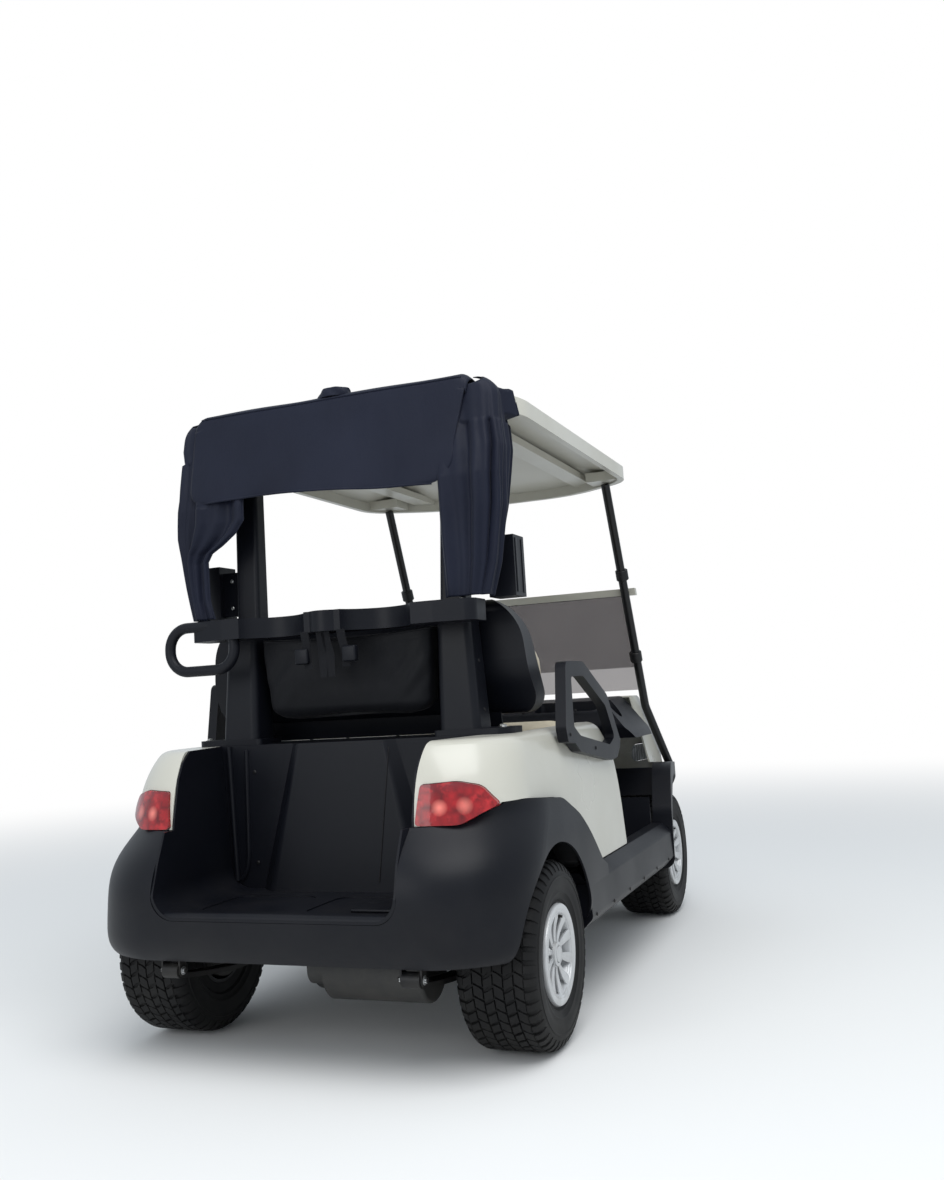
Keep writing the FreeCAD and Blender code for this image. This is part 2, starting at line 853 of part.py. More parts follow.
def bag_well():
    """Open tub for the bags: back wall with a raised middle and upright beads, sides and floor."""
    shell = well_form(panel_gap).cut(well_form(panel_gap + shell_wall))
    rear_edge = [(rear_y - rear, bumper_low + rise, 0) for rise, _, rear, _ in black_sections[2:5]]
    rear_edge += [(rear_y - 57, lamp_low, 0), (rear_y - 105, lamp_low, 0)]
    rear_edge += [(rear_y - rear, deck_height - drop, 0) for drop, _, rear, _ in cream_sections[2:4]]
    rear_edge += [(rear_y - 162, deck_height - 28, 0), (rear_y - 205, deck_height, 0)]
    side_view = [(0, bumper_low, 0), (rear_y - 4, bumper_low, 0)] + rear_edge + [(0, deck_height, 0)]
    tub = shell.common(prism_x(side_view, -half_width, half_width))
    lip_y = rear_y - well_lip - 4
    lip = rod(V(-half_width, lip_y, well_floor), V(half_width, lip_y, well_floor), well_lip)
    back = well_front_y + panel_gap
    bulge = loft(
        [
            outline(
                [(-268, back - 1, 0), (268, back - 1, 0), (222, back + 46, 40), (-222, back + 46, 40)],
                on_xy(well_floor - 1),
            ),
            outline(
                [(-158, back - 1, 0), (158, back - 1, 0), (132, back + 24, 14), (-132, back + 24, 14)],
                on_xy(deck_height),
            ),
        ]
    )
    bead = rod(V(352, back + 3, well_floor + 20), V(366, back + 3, deck_height - 2), 8)
    deck = box(-deck_half, deck_half, pod_rear_y, well_front_y, deck_height - 10, deck_height)
    riser = box(-deck_half, deck_half, pod_rear_y, pod_rear_y + 10, pod_top + seat_gap, deck_height)
    tub = joined([tub, lip.common(well_form(panel_gap)), bulge, bead, mirrored(bead), deck, riser])
    feet = [
        prism_z([(x0, 880, 40), (x1, 880, 40), (x1, 1090, 40), (x0, 1090, 40)], well_floor - 3, well_floor + 10)
        for x0, x1 in ((-272, -30), (30, 272))
    ]
    return biggest(tub.cut(feet))


# Seat pod, battery, seat

pod_half = 468
pod_top = 664
pod_wall = 6
pod_rear_y = rear_axle_y - tyre_radius - 2 * swing_gap


def seat_pod():
    """Black panel below the seat and the rim that the seat bottom rests on, open inside for the batteries."""
    outer = prism_x(
        [
            (seat_front_y, floor_height + seat_gap, 0),
            (seat_front_y + 70, pod_top, 20),
            (pod_rear_y, pod_top, 0),
            (pod_rear_y, floor_height + seat_gap, 0),
        ],
        -pod_half,
        pod_half,
    )
    inner = prism_x(
        [
            (seat_front_y + pod_wall, floor_height - 10, 0),
            (seat_front_y + 70 + pod_wall, pod_top - pod_wall, 16),
            (pod_rear_y - pod_wall, pod_top - pod_wall, 0),
            (pod_rear_y - pod_wall, floor_height - 10, 0),
        ],
        -pod_half + pod_wall,
        pod_half - pod_wall,
    )
    hatch = prism_z(
        [(-400, 110, 30), (400, 110, 30), (400, 400, 30), (-400, 400, 30)], pod_top - 20, pod_top + 10
    )
    return outer.cut([inner, hatch])


battery_height = 270
battery_low = floor_height - floor_wall


def battery_pack():
    """Six batteries on one tray."""
    tray = box(-360, 360, 76, 400, battery_low, battery_low + 8)
    cells = []
    for column in range(3):
        for row in range(2):
            x = -350 + column * 237
            y = 82 + row * 160
            cell = box(x, x + 226, y, y + 150, battery_low + 8, battery_low + battery_height)
            cap = box(x + 20, x + 206, y + 50, y + 100, battery_low + battery_height, battery_low + battery_height + 14)
            cells += [cell, cap]
    return joined([tray] + cells)


lid_low = pod_top + seat_gap
lid_thickness = 16
lid_rear_y = 452
seat_half = 460
cushion_height = 92


def seat_bottom_base():
    """Board under the seat cushion, with the two hinge straps at its rear edge."""
    board = prism_z(
        [(-seat_half + 20, 40, 40), (seat_half - 20, 40, 40), (seat_half - 20, lid_rear_y, 20), (-seat_half + 20, lid_rear_y, 20)],
        lid_low,
        lid_low + lid_thickness,
    )
    straps = [box(x - 25, x + 25, lid_rear_y - 60, lid_rear_y + 8, lid_low, lid_low + 4) for x in (-260, 260)]
    return joined([board] + straps)


def seat_bottom_cushion():
    low = lid_low + lid_thickness + seat_gap
    form = prism_x(
        [
            (8, low, 14),
            (0, low + cushion_height - 14, 40),
            (120, low + cushion_height + 6, 80),
            (lid_rear_y - 12, low + cushion_height - 12, 36),
            (lid_rear_y - 8, low, 14),
        ],
        -seat_half,
        seat_half,
    )
    return rounded(form, 24, lambda p: abs(p.x) > seat_half - 1 and p.z > low + 20)


back_half = 505


def seat_back_cushion():
    form = prism_x(
        [
            (470, 850, 30),
            (440, 930, 120),
            (540, 1128, 24),
            (606, 1128, 24),
            (520, 852, 20),
        ],
        -back_half + 12,
        back_half - 12,
    )
    front = prism_y(
        [
            (-back_half, 840, 60),
            (back_half, 840, 60),
            (back_half - 30, 1140, 140),
            (-back_half + 30, 1140, 140),
        ],
        400,
        760,
    )
    return form.common(front)


def seat_back_shell():
    """Black moulded shell behind the back cushion, on two brackets from the rear uprights."""
    form = prism_x(
        [
            (512.6, 826, 14),
            (611, 1142, 12),
            (654, 1124, 36),
            (642, 930, 160),
            (575, 822, 30),
        ],
        -back_half,
        back_half,
    )
    front = prism_y(
        [
            (-back_half - 4, 820, 60),
            (back_half + 4, 820, 60),
            (back_half - 26, 1146, 142),
            (-back_half + 26, 1146, 142),
        ],
        400,
        760,
    )
    brackets = [box(x - 25, x + 25, 600, 663, 900, 1000) for x in (-342, 342)]
    return joined([form.common(front)] + brackets)


def hip_restraint():
    """Arm loop beside the left seat: one thick bar bent to a D, with its base along the cream panel."""
    loop = prism_x(
        [
            (551, 957, 22),
            (380, 957, 90),
            (136, 856, 80),
            (4, 704, 20),
            (60, 660, 20),
            (132, 656, 30),
            (453, 703, 40),
            (506, 731, 20),
            (568, 736, 14),
            (584, 776, 20),
        ],
        restraint_x,
        restraint_x + restraint_width,
    )
    window = prism_x(
        [(506, 914, 12), (388, 916, 70), (164, 824, 60), (78, 724, 12), (140, 704, 20), (448, 748, 30), (506, 776, 14)],
        restraint_x - 1,
        restraint_x + restraint_width + 1,
    )
    return loop.cut([window, cream_form(-seat_gap)])


restraint_x = 545
restraint_width = 30


# Uprights, roof and windshield

upright_outer = 396
upright_inner = 280
flange_thickness = 16
flange_outer = 482


def rear_struts():
    """Flange on the deck, deep moulded column up to the bag rack, then a slimmer post to the roof."""
    low = deck_height + seat_gap
    flange = prism_z(
        [(266, 650, 12), (flange_outer, 650, 30), (flange_outer, 772, 40), (266, 772, 12)],
        low,
        low + flange_thickness,
    )
    column = loft(
        [
            outline(
                [(upright_inner, 662, 20), (upright_outer, 662, 20), (upright_outer, 768, 20), (upright_inner, 768, 20)],
                on_xy(low),
            ),
            outline(
                [(upright_inner + 2, 666, 20), (upright_outer - 20, 666, 20), (upright_outer - 20, 752, 20), (upright_inner + 2, 752, 20)],
                on_xy(column_top),
            ),
        ]
    )
    return both_sides(joined([flange, column, rear_post()]))


column_top = 1120


def rear_post():
    return loft(
        [
            outline([(284, 664, 12), (358, 664, 12), (358, 726, 12), (284, 726, 12)], on_xy(column_top - 1)),
            outline([(298, 640, 12), (372, 640, 12), (372, 690, 12), (298, 690, 12)], on_xy(roof_under)),
        ]
    )


strut_radius = 16
strut_foot = (511, -1009, 550)
strut_kink = (455, -889, 795)
strut_head = (447, -531)
roof_under = roof_edge_height + 6


def front_strut(radius):
    """Left tube from the cowl to the roof, with its one bend."""
    head = V(strut_head[0], strut_head[1], roof_under - strut_head_drop)
    return pipe([V(*strut_foot), V(*strut_kink), head], 120, radius)


strut_head_drop = 6.4


def front_struts():
    return both_sides(front_strut(strut_radius))


roof_front_y = -700
roof_rear_y = 768
roof_half = 535
roof_crown = 74
roof_lip = 45


def crowned(half, front, rear, base, crown):
    """A crowned slab: the plan outline cut by a cambered top that falls towards every edge."""
    plan = prism_z(
        [
            (-half, front + 170, 150),
            (-half / 2, front, 400),
            (half / 2, front, 400),
            (half, front + 170, 150),
            (half, rear, 160),
            (-half, rear, 160),
        ],
        base,
        base + crown + 60,
    )
    middle = (front + rear) / 2
    across = Part.Face(
        Part.Wire(
            [
                Part.makeLine(V(-half - 1, front - 1, base - 1), V(half + 1, front - 1, base - 1)),
                Part.makeLine(V(half + 1, front - 1, base - 1), V(half + 1, front - 1, base + roof_lip)),
                Part.Arc(
                    V(half + 1, front - 1, base + roof_lip),
                    V(0, front - 1, base + crown + 24),
                    V(-half - 1, front - 1, base + roof_lip),
                ).toShape(),
                Part.makeLine(V(-half - 1, front - 1, base + roof_lip), V(-half - 1, front - 1, base - 1)),
            ]
        )
    ).extrude(V(0, rear - front + 2, 0))
    along = Part.Face(
        Part.Wire(
            [
                Part.makeLine(V(-half - 1, front - 1, base - 1), V(-half - 1, rear + 1, base - 1)),
                Part.makeLine(V(-half - 1, rear + 1, base - 1), V(-half - 1, rear + 1, base + roof_lip + 30)),
                Part.Arc(
                    V(-half - 1, rear + 1, base + roof_lip + 30),
                    V(-half - 1, middle, base + crown + 24),
                    V(-half - 1, front - 1, base + roof_lip),
                ).toShape(),
                Part.makeLine(V(-half - 1, front - 1, base + roof_lip), V(-half - 1, front - 1, base - 1)),
            ]
        )
    ).extrude(V(2 * half + 2, 0, 0))
    return plan.common(across).common(along)


def roof():
    """Cream roof with a turned-down edge, two moulded channels below and drip rails."""
    base = roof_edge_height
    outer = crowned(roof_half, roof_front_y, roof_rear_y, base, roof_crown)
    inner = crowned(roof_half - 20, roof_front_y + 20, roof_rear_y - 20, base - 10, roof_crown)
    skin = outer.cut(inner)
    pads = []
    for x, y in ((strut_head[0], strut_head[1]), (335, 665)):
        pads.append(box(x - 60, x + 60, y - 50, y + 50, roof_under + 0.0, base + 40))
        pads.append(box(-x - 60, -x + 60, y - 50, y + 50, roof_under + 0.0, base + 40))
    beams = [box(x - 34, x + 34, roof_front_y + 30, roof_rear_y - 30, base + 26, base + 50) for x in (-330, 330)]
    joined_roof = joined([skin] + pads + beams).common(crowned(roof_half, roof_front_y, roof_rear_y, base, roof_crown))
    return biggest(joined_roof)


glass_half = 452
glass_low_z = 860
glass_hinge_z = 1250
glass_thickness = 5


def strut_y(z):
    """Y of the front struts' centre at a height above the kink."""
    share = (z - strut_kink[2]) / (roof_under - strut_kink[2])
    return strut_kink[1] + share * (strut_head[1] - strut_kink[1])


def sloped_sheet(z0, z1, ahead, half, thick):
    """A flat sheet in the plane of the front struts, a distance ahead of their centre line."""
    y0 = strut_y(z0) - ahead
    y1 = strut_y(z1) - ahead
    return prism_x([(y0, z0, 0), (y1, z1, 0), (y1 + thick, z1, 0), (y0 + thick, z0, 0)], -half, half)


def windshield_glass():
    """Fixed lower pane and the upper pane folded down in front of it."""
    lower = sloped_sheet(glass_low_z, glass_hinge_z - 8, strut_radius + 8, glass_half, glass_thickness)
    upper = sloped_sheet(glass_low_z + 90, glass_hinge_z - 8, strut_radius + 22, glass_half, glass_thickness)
    return Part.makeCompound([lower, upper])


def windshield_strip():
    """Hinge strip along the top of both panes, and the clips that hold the panes to the struts."""
    strip = sloped_sheet(glass_hinge_z - 26, glass_hinge_z, strut_radius + 26, strut_head[0] + 40, 26)
    for side in (1, -1):
        tube = front_strut(strut_radius + seat_gap)
        strip = strip.cut(tube if side > 0 else mirrored(tube))
    slot_low = sloped_sheet(glass_hinge_z - 40, glass_hinge_z - 8 + seat_gap, strut_radius + 8 + seat_gap, glass_half + 1, glass_thickness + 2 * seat_gap)
    slot_up = sloped_sheet(glass_hinge_z - 40, glass_hinge_z - 8 + seat_gap, strut_radius + 22 + seat_gap, glass_half + 1, glass_thickness + 2 * seat_gap)
    return strip.cut([slot_low, slot_up])


# Front body

cowl_rear_y = -770
fender_top = 588


def front_black_side(grow):
    """Side view of the black front moulding."""
    return [
        (sill_front_y - panel_gap + grow, 214, 0),
        (sill_front_y - panel_gap + grow, 430 + grow, 60),
        (-700, fender_top + grow, 130),
        (-960, fender_top - 20 + grow, 130),
        (front_y - 20, 470 + grow, 0),
        (front_y - 20, 214, 0),
    ]


def front_form(inset, low, high):
    return prism_z(front_plan(inset, front_y, sill_front_y + 20), low, high)


def front_wheel_room():
    """Space over both front wheels that the tyres pass through, from lock to lock."""
    room = prism_z(
        [
            (toe_inner - 3, sill_front_y + 60, 0),
            (toe_inner - 3, front_axle_y - 211, 0),
            (front_track / 2 - 14, front_axle_y - 302, 0),
            (half_width + 20, front_axle_y - 316, 0),
            (half_width + 20, sill_front_y + 60, 0),
        ],
        0,
        fender_top,
    )
    around = rod(V(0, front_axle_y, tyre_radius), V(half_width + 21, front_axle_y, tyre_radius), front_arch_radius)
    room = room.common(around)
    return [room, mirrored(room)]


toe_inner = 235
front_arch_radius = 300
steer_lock = 25


def front_bumper():
    """Nose bumper and both front arches in one moulding."""
    outer = front_form(0, 215, fender_top + 10)
    outer = outer.common(prism_x(front_black_side(0), -half_width - 1, half_width + 1))
    outer = rounded(outer, 40, lambda p: p.z < 216 and p.y < sill_front_y - 40)
    inner = front_form(shell_wall, 205, fender_top)
    inner = inner.common(prism_x(front_black_side(-shell_wall), -half_width - 1, half_width + 1))
    body = outer.cut(inner)
    throat = box(-floor_half - 4, floor_half + 4, sill_front_y - 20, sill_front_y + 30, 0, deck_height)
    body = body.cut(front_wheel_room() + [throat])
    hollow = prism_z(front_plan(70, front_y, sill_front_y + 30), 400, fender_top + 20)
    foot_room = front_strut(strut_radius + seat_gap)
    return biggest(body.cut([hollow, foot_room, mirrored(foot_room)]))


def cowl_side(grow):
    return [
        (cowl_rear_y, 500, 0),
        (cowl_rear_y, 840 + grow, 0),
        (-900, 838 + grow, 60),
        (-1070, 676 + grow, 160),
        (front_y + 30 - grow, 560, 70),
        (front_y + 34 - grow, 440, 0),
        (cowl_rear_y, 440, 0),
    ]


def cowl_form(inset, grow):
    """Nose form between the struts: narrower towards its top."""
    form = prism_z(front_plan(46 + inset, front_y + 10, cowl_rear_y + 1), 430, 860)
    form = form.common(prism_x(cowl_side(grow), -half_width, half_width))
    side = strut_kink[0] - strut_radius - 4 - inset
    lean = (strut_foot[0] - strut_kink[0]) / (strut_kink[2] - strut_foot[2])
    low_side = side + lean * (strut_kink[2] - 429)
    top_side = side - lean * (861 - strut_kink[2])
    between = prism_y([(-low_side, 429, 0), (-top_side, 861, 0), (top_side, 861, 0), (low_side, 429, 0)], front_y, cowl_rear_y + 2)
    return form.common(between)


def front_cowl():
    """Cream nose between the black arches, open behind and below."""
    skin = cowl_form(0, 0).common(box(-half_width, half_width, front_y, cowl_rear_y, 440, 861))
    skin = skin.cut(cowl_form(shell_wall, -shell_wall))
    black = prism_x(front_black_side(panel_gap), -half_width - 1, half_width + 1)
    black = black.common(front_form(-5, 200, fender_top + 20))
    slot = front_strut(strut_radius + seat_gap * 5)
    lamp = headlight_opening(panel_gap)
    back = box(-half_width, half_width, cowl_rear_y - 6, cowl_rear_y + 10, 400, 861)
    return biggest(skin.cut([black, slot, mirrored(slot), back, lamp, mirrored(lamp)]))


def headlight_opening(grow):
    """Front view of the left lamp, drawn out along the cart."""
    return prism_y(
        [
            (330 - grow, 560 - grow, 20),
            (470 + grow, 590 - grow, 20),
            (478 + grow, 650 + grow, 30),
            (340 - grow, 632 + grow, 24),
        ],
        front_y - 1,
        front_y + 260,
    )


def headlights():
    """Clear lenses in the nose's corners."""
    skin = cowl_form(-4, 6).cut(cowl_form(20, -20))
    return both_sides(biggest(headlight_opening(0).common(skin)))


def dash():
    """Dash moulding with open bins, two cup wells each side and side panels down to the sills."""
    top = prism_x(
        [
            (cowl_rear_y - 6 + seat_gap, 690, 0),
            (cowl_rear_y - 6 + seat_gap, 842, 20),
            (-560, 830, 30),
            (-452, 790, 30),
            (-440, 730, 20),
            (-520, 690, 20),
        ],
        -half_width,
        half_width,
    )
    top = top.common(
        prism_y(
            [(-514, 640, 0), (-490, 716, 60), (-384, 850, 60), (384, 850, 60), (490, 716, 60), (514, 640, 0)],
            cowl_rear_y - 10,
            -430,
        )
    )
    pockets = [prism_z([(x0, -560, 20), (x1, -560, 20), (x1, -470, 20), (x0, -470, 20)], 716, 860) for x0, x1 in dash_bins()]
    cups = [rod(V(x, cup_y, 724), V(x, cup_y, 900), cup_radius) for x in cup_places()]
    cups.append(rod(column_foot, column_foot + column_slope * 500, column_radius + seat_gap))
    return top.cut(pockets + cups)


cup_radius = 41
cup_y = -525


def cup_places():
    return [-60, 60, 408, -408]


def dash_bins():
    """Left and right side of each open bin."""
    return [(-370, -130)]


# Steering

column_foot = V(245, -640, 500)
column_slope = V(0, 0.62, 0.785)
column_length = 360
column_radius = 24
steer_ring_radius = 172
steer_ring_bar = 13


def steering_column():
    end = column_foot + column_slope * column_length
    start = column_foot - column_slope * 160
    board = prism_x(
        [(toe_y(z) + d, z, 0) for z, d in ((300, 0), (600, 0), (600, -190), (300, -190))], column_foot.x - 60, column_foot.x + 60
    )
    return biggest(rod(start, end, column_radius).cut(board))


def steering_wheel():
    """Rim, three spokes and the centre pad, square to the column."""
    centre = column_foot + column_slope * (column_length + seat_gap)
    ring = Part.makeTorus(steer_ring_radius, steer_ring_bar, V(0, 0, 22))
    boss = Part.makeCylinder(34, 30, V(0, 0, 0))
    spokes = []
    for angle in (90, 210, 330):
        spoke = box(20, steer_ring_radius, -17, 17, 6, 20)
        spoke.rotate(V(0, 0, 0), Z_AXIS, angle - 180)
        spokes.append(spoke)
    pad = prism_z([(-70, -52, 24), (70, -52, 24), (56, 60, 24), (-56, 60, 24)], 12, 30)
    wheel = joined([ring, boss, pad] + spokes)
    turn = FreeCAD.Rotation(Z_AXIS, column_slope)
    wheel.Placement = FreeCAD.Placement(centre, turn)
    return wheel


def pedals():
    """Brake and accelerator pads on arms that stand on the toe board."""
    shapes = []
    for x, half, low, height in pedal_places():
        pad = prism_x(
            [
                (toe_y(low) + 84, low, 4),
                (toe_y(low + height) + 84, low + height, 4),
                (toe_y(low + height) + 72, low + height, 4),
                (toe_y(low) + 72, low, 4),
            ],
            x - half,
            x + half,
        )
        middle = low + height / 2
        foot = V(x, toe_y(middle + 30) + 1.2, middle + 30)
        arm = rod(foot, V(x, toe_y(middle) + 78, middle), 8)
        board = prism_x([(toe_y(z) + d, z, 0) for z, d in ((300, 0), (520, 0), (520, -90), (300, -90))], x - 20, x + 20)
        shapes.append(joined([pad, arm]).cut(board))
    return Part.makeCompound(shapes)


def toe_y(z):
    """Y of the toe board's face, plus the seat gap, at a height."""
    slope = (floor_front_y - 60 - kick_front_y - floor_wall) / (kick_top - floor_height)
    return floor_front_y - 60 - slope * (z - floor_height) + seat_gap


def pedal_places():
    """Centre x, half-width, underside and height of each pad."""
    return [(135, 40, 376, 62), (40, 27, 356, 100)]


# Bag rack, basket, holders and cover

rack_top = 1128
rack_low = 1072


def bag_rack():
    """Moulded rail with two round bag bays, a nose between them and a hanging loop at the left end."""
    half = [(rack_half, rack_front_y, 10), (rack_half, rack_rear_y - 18, 30), (rack_break_x, rack_rear_y, 60)]
    corners = half + [(-x, y, radius) for x, y, radius in reversed(half)]
    slab = prism_z(corners, rack_low, rack_top)
    nose = rod(V(0, rack_nose_y, rack_low), V(0, rack_nose_y, rack_top), rack_nose_radius)
    bays = [rod(V(x, bay_y, rack_low - 1), V(x, bay_y, rack_top + 1), bay_radius) for x in (-bay_x, bay_x)]
    loop_y = rack_rear_y - 22
    left, right = loop_x - loop_half_width, loop_x + loop_half_width
    low, high = loop_z - loop_half_height, loop_z + loop_half_height
    corners = [(loop_x, high), (right, high), (right, low), (left, low), (left, high), (loop_x, high)]
    loop = pipe([V(x, loop_y, z) for x, z in corners], loop_half_height - 3, loop_bar)
    return joined([joined([slab, nose]).cut(bays), loop])


rack_break_x = 320
loop_x = 398
loop_z = 1053
loop_half_width = 107
loop_half_height = 62
rack_half = 432
rack_front_y = 754.6
rack_rear_y = 866
rack_nose_y = 832
rack_nose_radius = 50
bay_x = 158
bay_y = 904
bay_radius = 110
loop_bar = 15


def bag_basket():
    """Fabric sweater basket behind the seat back, below the rail."""
    outer = prism_x(
        [(656, 830, 30), (668, rack_low - seat_gap, 0), (766, rack_low - seat_gap, 0), (752, 820, 40)], -270, 270
    )
    inner = prism_x([(662, 838, 26), (674, rack_low, 0), (760, rack_low, 0), (746, 828, 34)], -264, 264)
    return outer.cut(inner)


def bottle_holders():
    """Open box for a sand bottle on each rear post."""
    outer = box(424, 500, 622, 706, 1136, 1300)
    inner = box(430, 494, 628, 700, 1146, 1310)
    bracket = box(330, 424, 672, 690, 1150, 1280).cut(rear_post())
    return both_sides(biggest(joined([outer.cut(inner), bracket])))


cover_half = 456
cover_top = 1742
cover_rear_y = 775
cover_front_y = 690
cover_thickness = 8
flap_low = 1456
flap_swing = 62
curtain_low = 1150


def bag_cover():
    """Fabric canopy over the bags: a band over the roof's rear edge, a rear flap and two side curtains."""
    rest = roof_edge_height + roof_crown + 22
    flap_y = cover_rear_y + flap_swing
    top = prism_x(
        [
            (cover_front_y, roof_edge_height, 0),
            (cover_front_y, rest, 20),
            (cover_front_y + 24, cover_top - 4, 30),
            (cover_rear_y - 20, cover_top, 40),
            (cover_rear_y + 6, cover_top - 20, 30),
            (flap_y, flap_low, 0),
            (flap_y - cover_thickness, flap_low, 0),
            (cover_rear_y - 4, cover_top - 30, 20),
            (cover_rear_y - 26, cover_top - cover_thickness, 20),
            (cover_front_y + 28, cover_top - cover_thickness - 4, 20),
            (cover_front_y + cover_thickness, rest - 6, 12),
            (cover_front_y + cover_thickness, roof_edge_height, 0),
        ],
        -cover_half,
        cover_half,
    )
    rear_view = [
        (-cover_half, flap_low - 1, 50),
        (-cover_half + 24, cover_top + 2, 50),
        (cover_half - 24, cover_top + 2, 50),
        (cover_half, flap_low - 1, 50),
    ]
    top = top.common(prism_y(rear_view, cover_front_y - 1, flap_y + 1))
    side_view = [
        (cover_rear_y - 8, cover_top - 40, 0),
        (cover_rear_y + 4, cover_top - 50, 0),
        (flap_y - 12, 1480, 60),
        (flap_y + 22, 1370, 80),
        (flap_y + 14, 1230, 80),
        (flap_y - 24, curtain_low, 25),
        (cover_rear_y - 26, curtain_low, 25),
        (cover_rear_y - 62, 1300, 100),
        (cover_rear_y - 90, 1450, 100),
        (cover_rear_y - 140, 1570, 60),
        (cover_rear_y - 140, roof_edge_height - 8, 0),
        (cover_rear_y - 24, roof_edge_height - 8, 0),
        (cover_rear_y - 24, cover_top - 40, 0),
    ]
    curtain = prism_x(side_view, cover_half - 2 * cover_thickness, cover_half - cover_thickness)
    resting = crowned(roof_half, roof_front_y, roof_rear_y + seat_gap, roof_edge_height, roof_crown + seat_gap)
    return biggest(joined([top, curtain, mirrored(curtain)]).cut(resting))


def parts():
    """Every piece by its name."""
    pieces = {
        "frame_rails": frame_rails(),
        "leaf_springs": leaf_springs(),
        "rear_axle": rear_axle(),
        "motor": motor(),
        "dampers": dampers(),
        "front_suspension": front_suspension(),
        "steering_rods": steering_rods(),
        "knuckle_left": knuckle(),
        "knuckle_right": mirrored(knuckle()),
        "floor_pan": floor_pan(),
        "floor_mat": floor_mat(),
        "sills": sills(),
        "rear_body": rear_body(),
        "quarter_panels": both_sides(quarter_panel()),
        "bag_well": bag_well(),
        "tail_lights": tail_lights(),
        "seat_pod": seat_pod(),
        "battery_pack": battery_pack(),
        "seat_bottom_base": seat_bottom_base(),
        "seat_bottom_cushion": seat_bottom_cushion(),
        "seat_back_cushion": seat_back_cushion(),
        "seat_back_shell": seat_back_shell(),
        "hip_restraints": both_sides(hip_restraint()),
        "rear_struts": rear_struts(),
        "front_struts": front_struts(),
        "roof": roof(),
        "windshield_glass": windshield_glass(),
        "windshield_strip": windshield_strip(),
        "front_bumper": front_bumper(),
        "front_cowl": front_cowl(),
        "headlights": headlights(),
        "dash": dash(),
        "steering_column": steering_column(),
        "steering_wheel": steering_wheel(),
        "pedals": pedals(),
        "bag_rack": bag_rack(),
        "bag_basket": bag_basket(),
        "bottle_holders": bottle_holders(),
        "bag_cover": bag_cover(),
    }
    rubber = tyre()
    metal = rim()
    for place, side, track, axle_y in (
        ("front_left", 1, front_track, front_axle_y),
        ("front_right", -1, front_track, front_axle_y),
        ("rear_left", 1, rear_track, rear_axle_y),
        ("rear_right", -1, rear_track, rear_axle_y),
    ):
        pieces["tyre_" + place] = placed_wheel(rubber, side, track, axle_y)
        pieces["rim_" + place] = placed_wheel(metal, side, track, axle_y)
    return pieces


os.makedirs("parts", exist_ok=True)
for name, shape in parts().items():
    shape.exportStep("parts/" + name + ".step")
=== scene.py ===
import bpy
import bmesh
import math
from mathutils import Matrix, Vector


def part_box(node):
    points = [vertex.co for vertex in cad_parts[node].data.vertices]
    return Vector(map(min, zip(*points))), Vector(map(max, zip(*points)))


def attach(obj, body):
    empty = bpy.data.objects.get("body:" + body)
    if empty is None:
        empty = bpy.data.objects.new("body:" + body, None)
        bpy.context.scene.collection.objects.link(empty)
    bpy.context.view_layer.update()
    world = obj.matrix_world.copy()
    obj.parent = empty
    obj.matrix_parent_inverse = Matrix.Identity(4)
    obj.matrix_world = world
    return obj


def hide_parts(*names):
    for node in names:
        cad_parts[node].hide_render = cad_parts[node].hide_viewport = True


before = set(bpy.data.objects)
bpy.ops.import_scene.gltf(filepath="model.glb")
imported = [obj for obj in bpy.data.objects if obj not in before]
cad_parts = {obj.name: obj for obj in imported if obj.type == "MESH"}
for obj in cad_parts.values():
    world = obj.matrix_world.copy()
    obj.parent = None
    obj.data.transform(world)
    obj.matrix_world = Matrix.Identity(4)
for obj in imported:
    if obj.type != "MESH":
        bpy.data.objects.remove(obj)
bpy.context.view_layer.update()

# Viewpoint
# A low, wide view from behind the right rear wheel, slightly tilted, as a person stands to look at the cart.
# Place and angles are in metres and degrees in the cart's own frame.
eye = Vector((-1.471, 3.504, 0.882))
heading, climb, tilt = math.radians(21.4), math.radians(5.29), math.radians(-3.40)
picture_long_side = 1180
focal_pixels = 1121
sensor_width = 36
forward = Vector((math.sin(heading) * math.cos(climb), -math.cos(heading) * math.cos(climb), math.sin(climb)))
level_right = forward.cross(Vector((0, 0, 1))).normalized()
level_up = level_right.cross(forward)
view_right = level_right * math.cos(tilt) + level_up * math.sin(tilt)
view_up = level_up * math.cos(tilt) - level_right * math.sin(tilt)
lens = bpy.data.cameras.new("viewpoint")
lens.lens = sensor_width * focal_pixels / picture_long_side
lens.clip_end = 200
viewpoint = bpy.data.objects.new("viewpoint", lens)
viewpoint.matrix_world = Matrix((
    (view_right.x, view_up.x, -forward.x, eye.x),
    (view_right.y, view_up.y, -forward.y, eye.y),
    (view_right.z, view_up.z, -forward.z, eye.z),
    (0, 0, 0, 1),
))
bpy.context.scene.collection.objects.link(viewpoint)
bpy.context.scene.camera = viewpoint
bpy.context.scene.view_settings.view_transform = "Standard"


# Studio
# A plain pale floor that fades into a white surround, one wide soft lamp overhead and one low fill behind.
# The surround lights the cart evenly; only what the eye or a reflection sees of it is white.


def node_in(tree, kind, **values):
    """Adds a node; values named after its inputs are set on them."""
    node = tree.nodes.new(kind)
    for name, value in values.items():
        node.inputs[name.replace("_", " ")].default_value = value
    return node


def wired(tree, *pairs):
    """Links each (output, input) pair."""
    for output, entry in pairs:
        tree.links.new(output, entry)


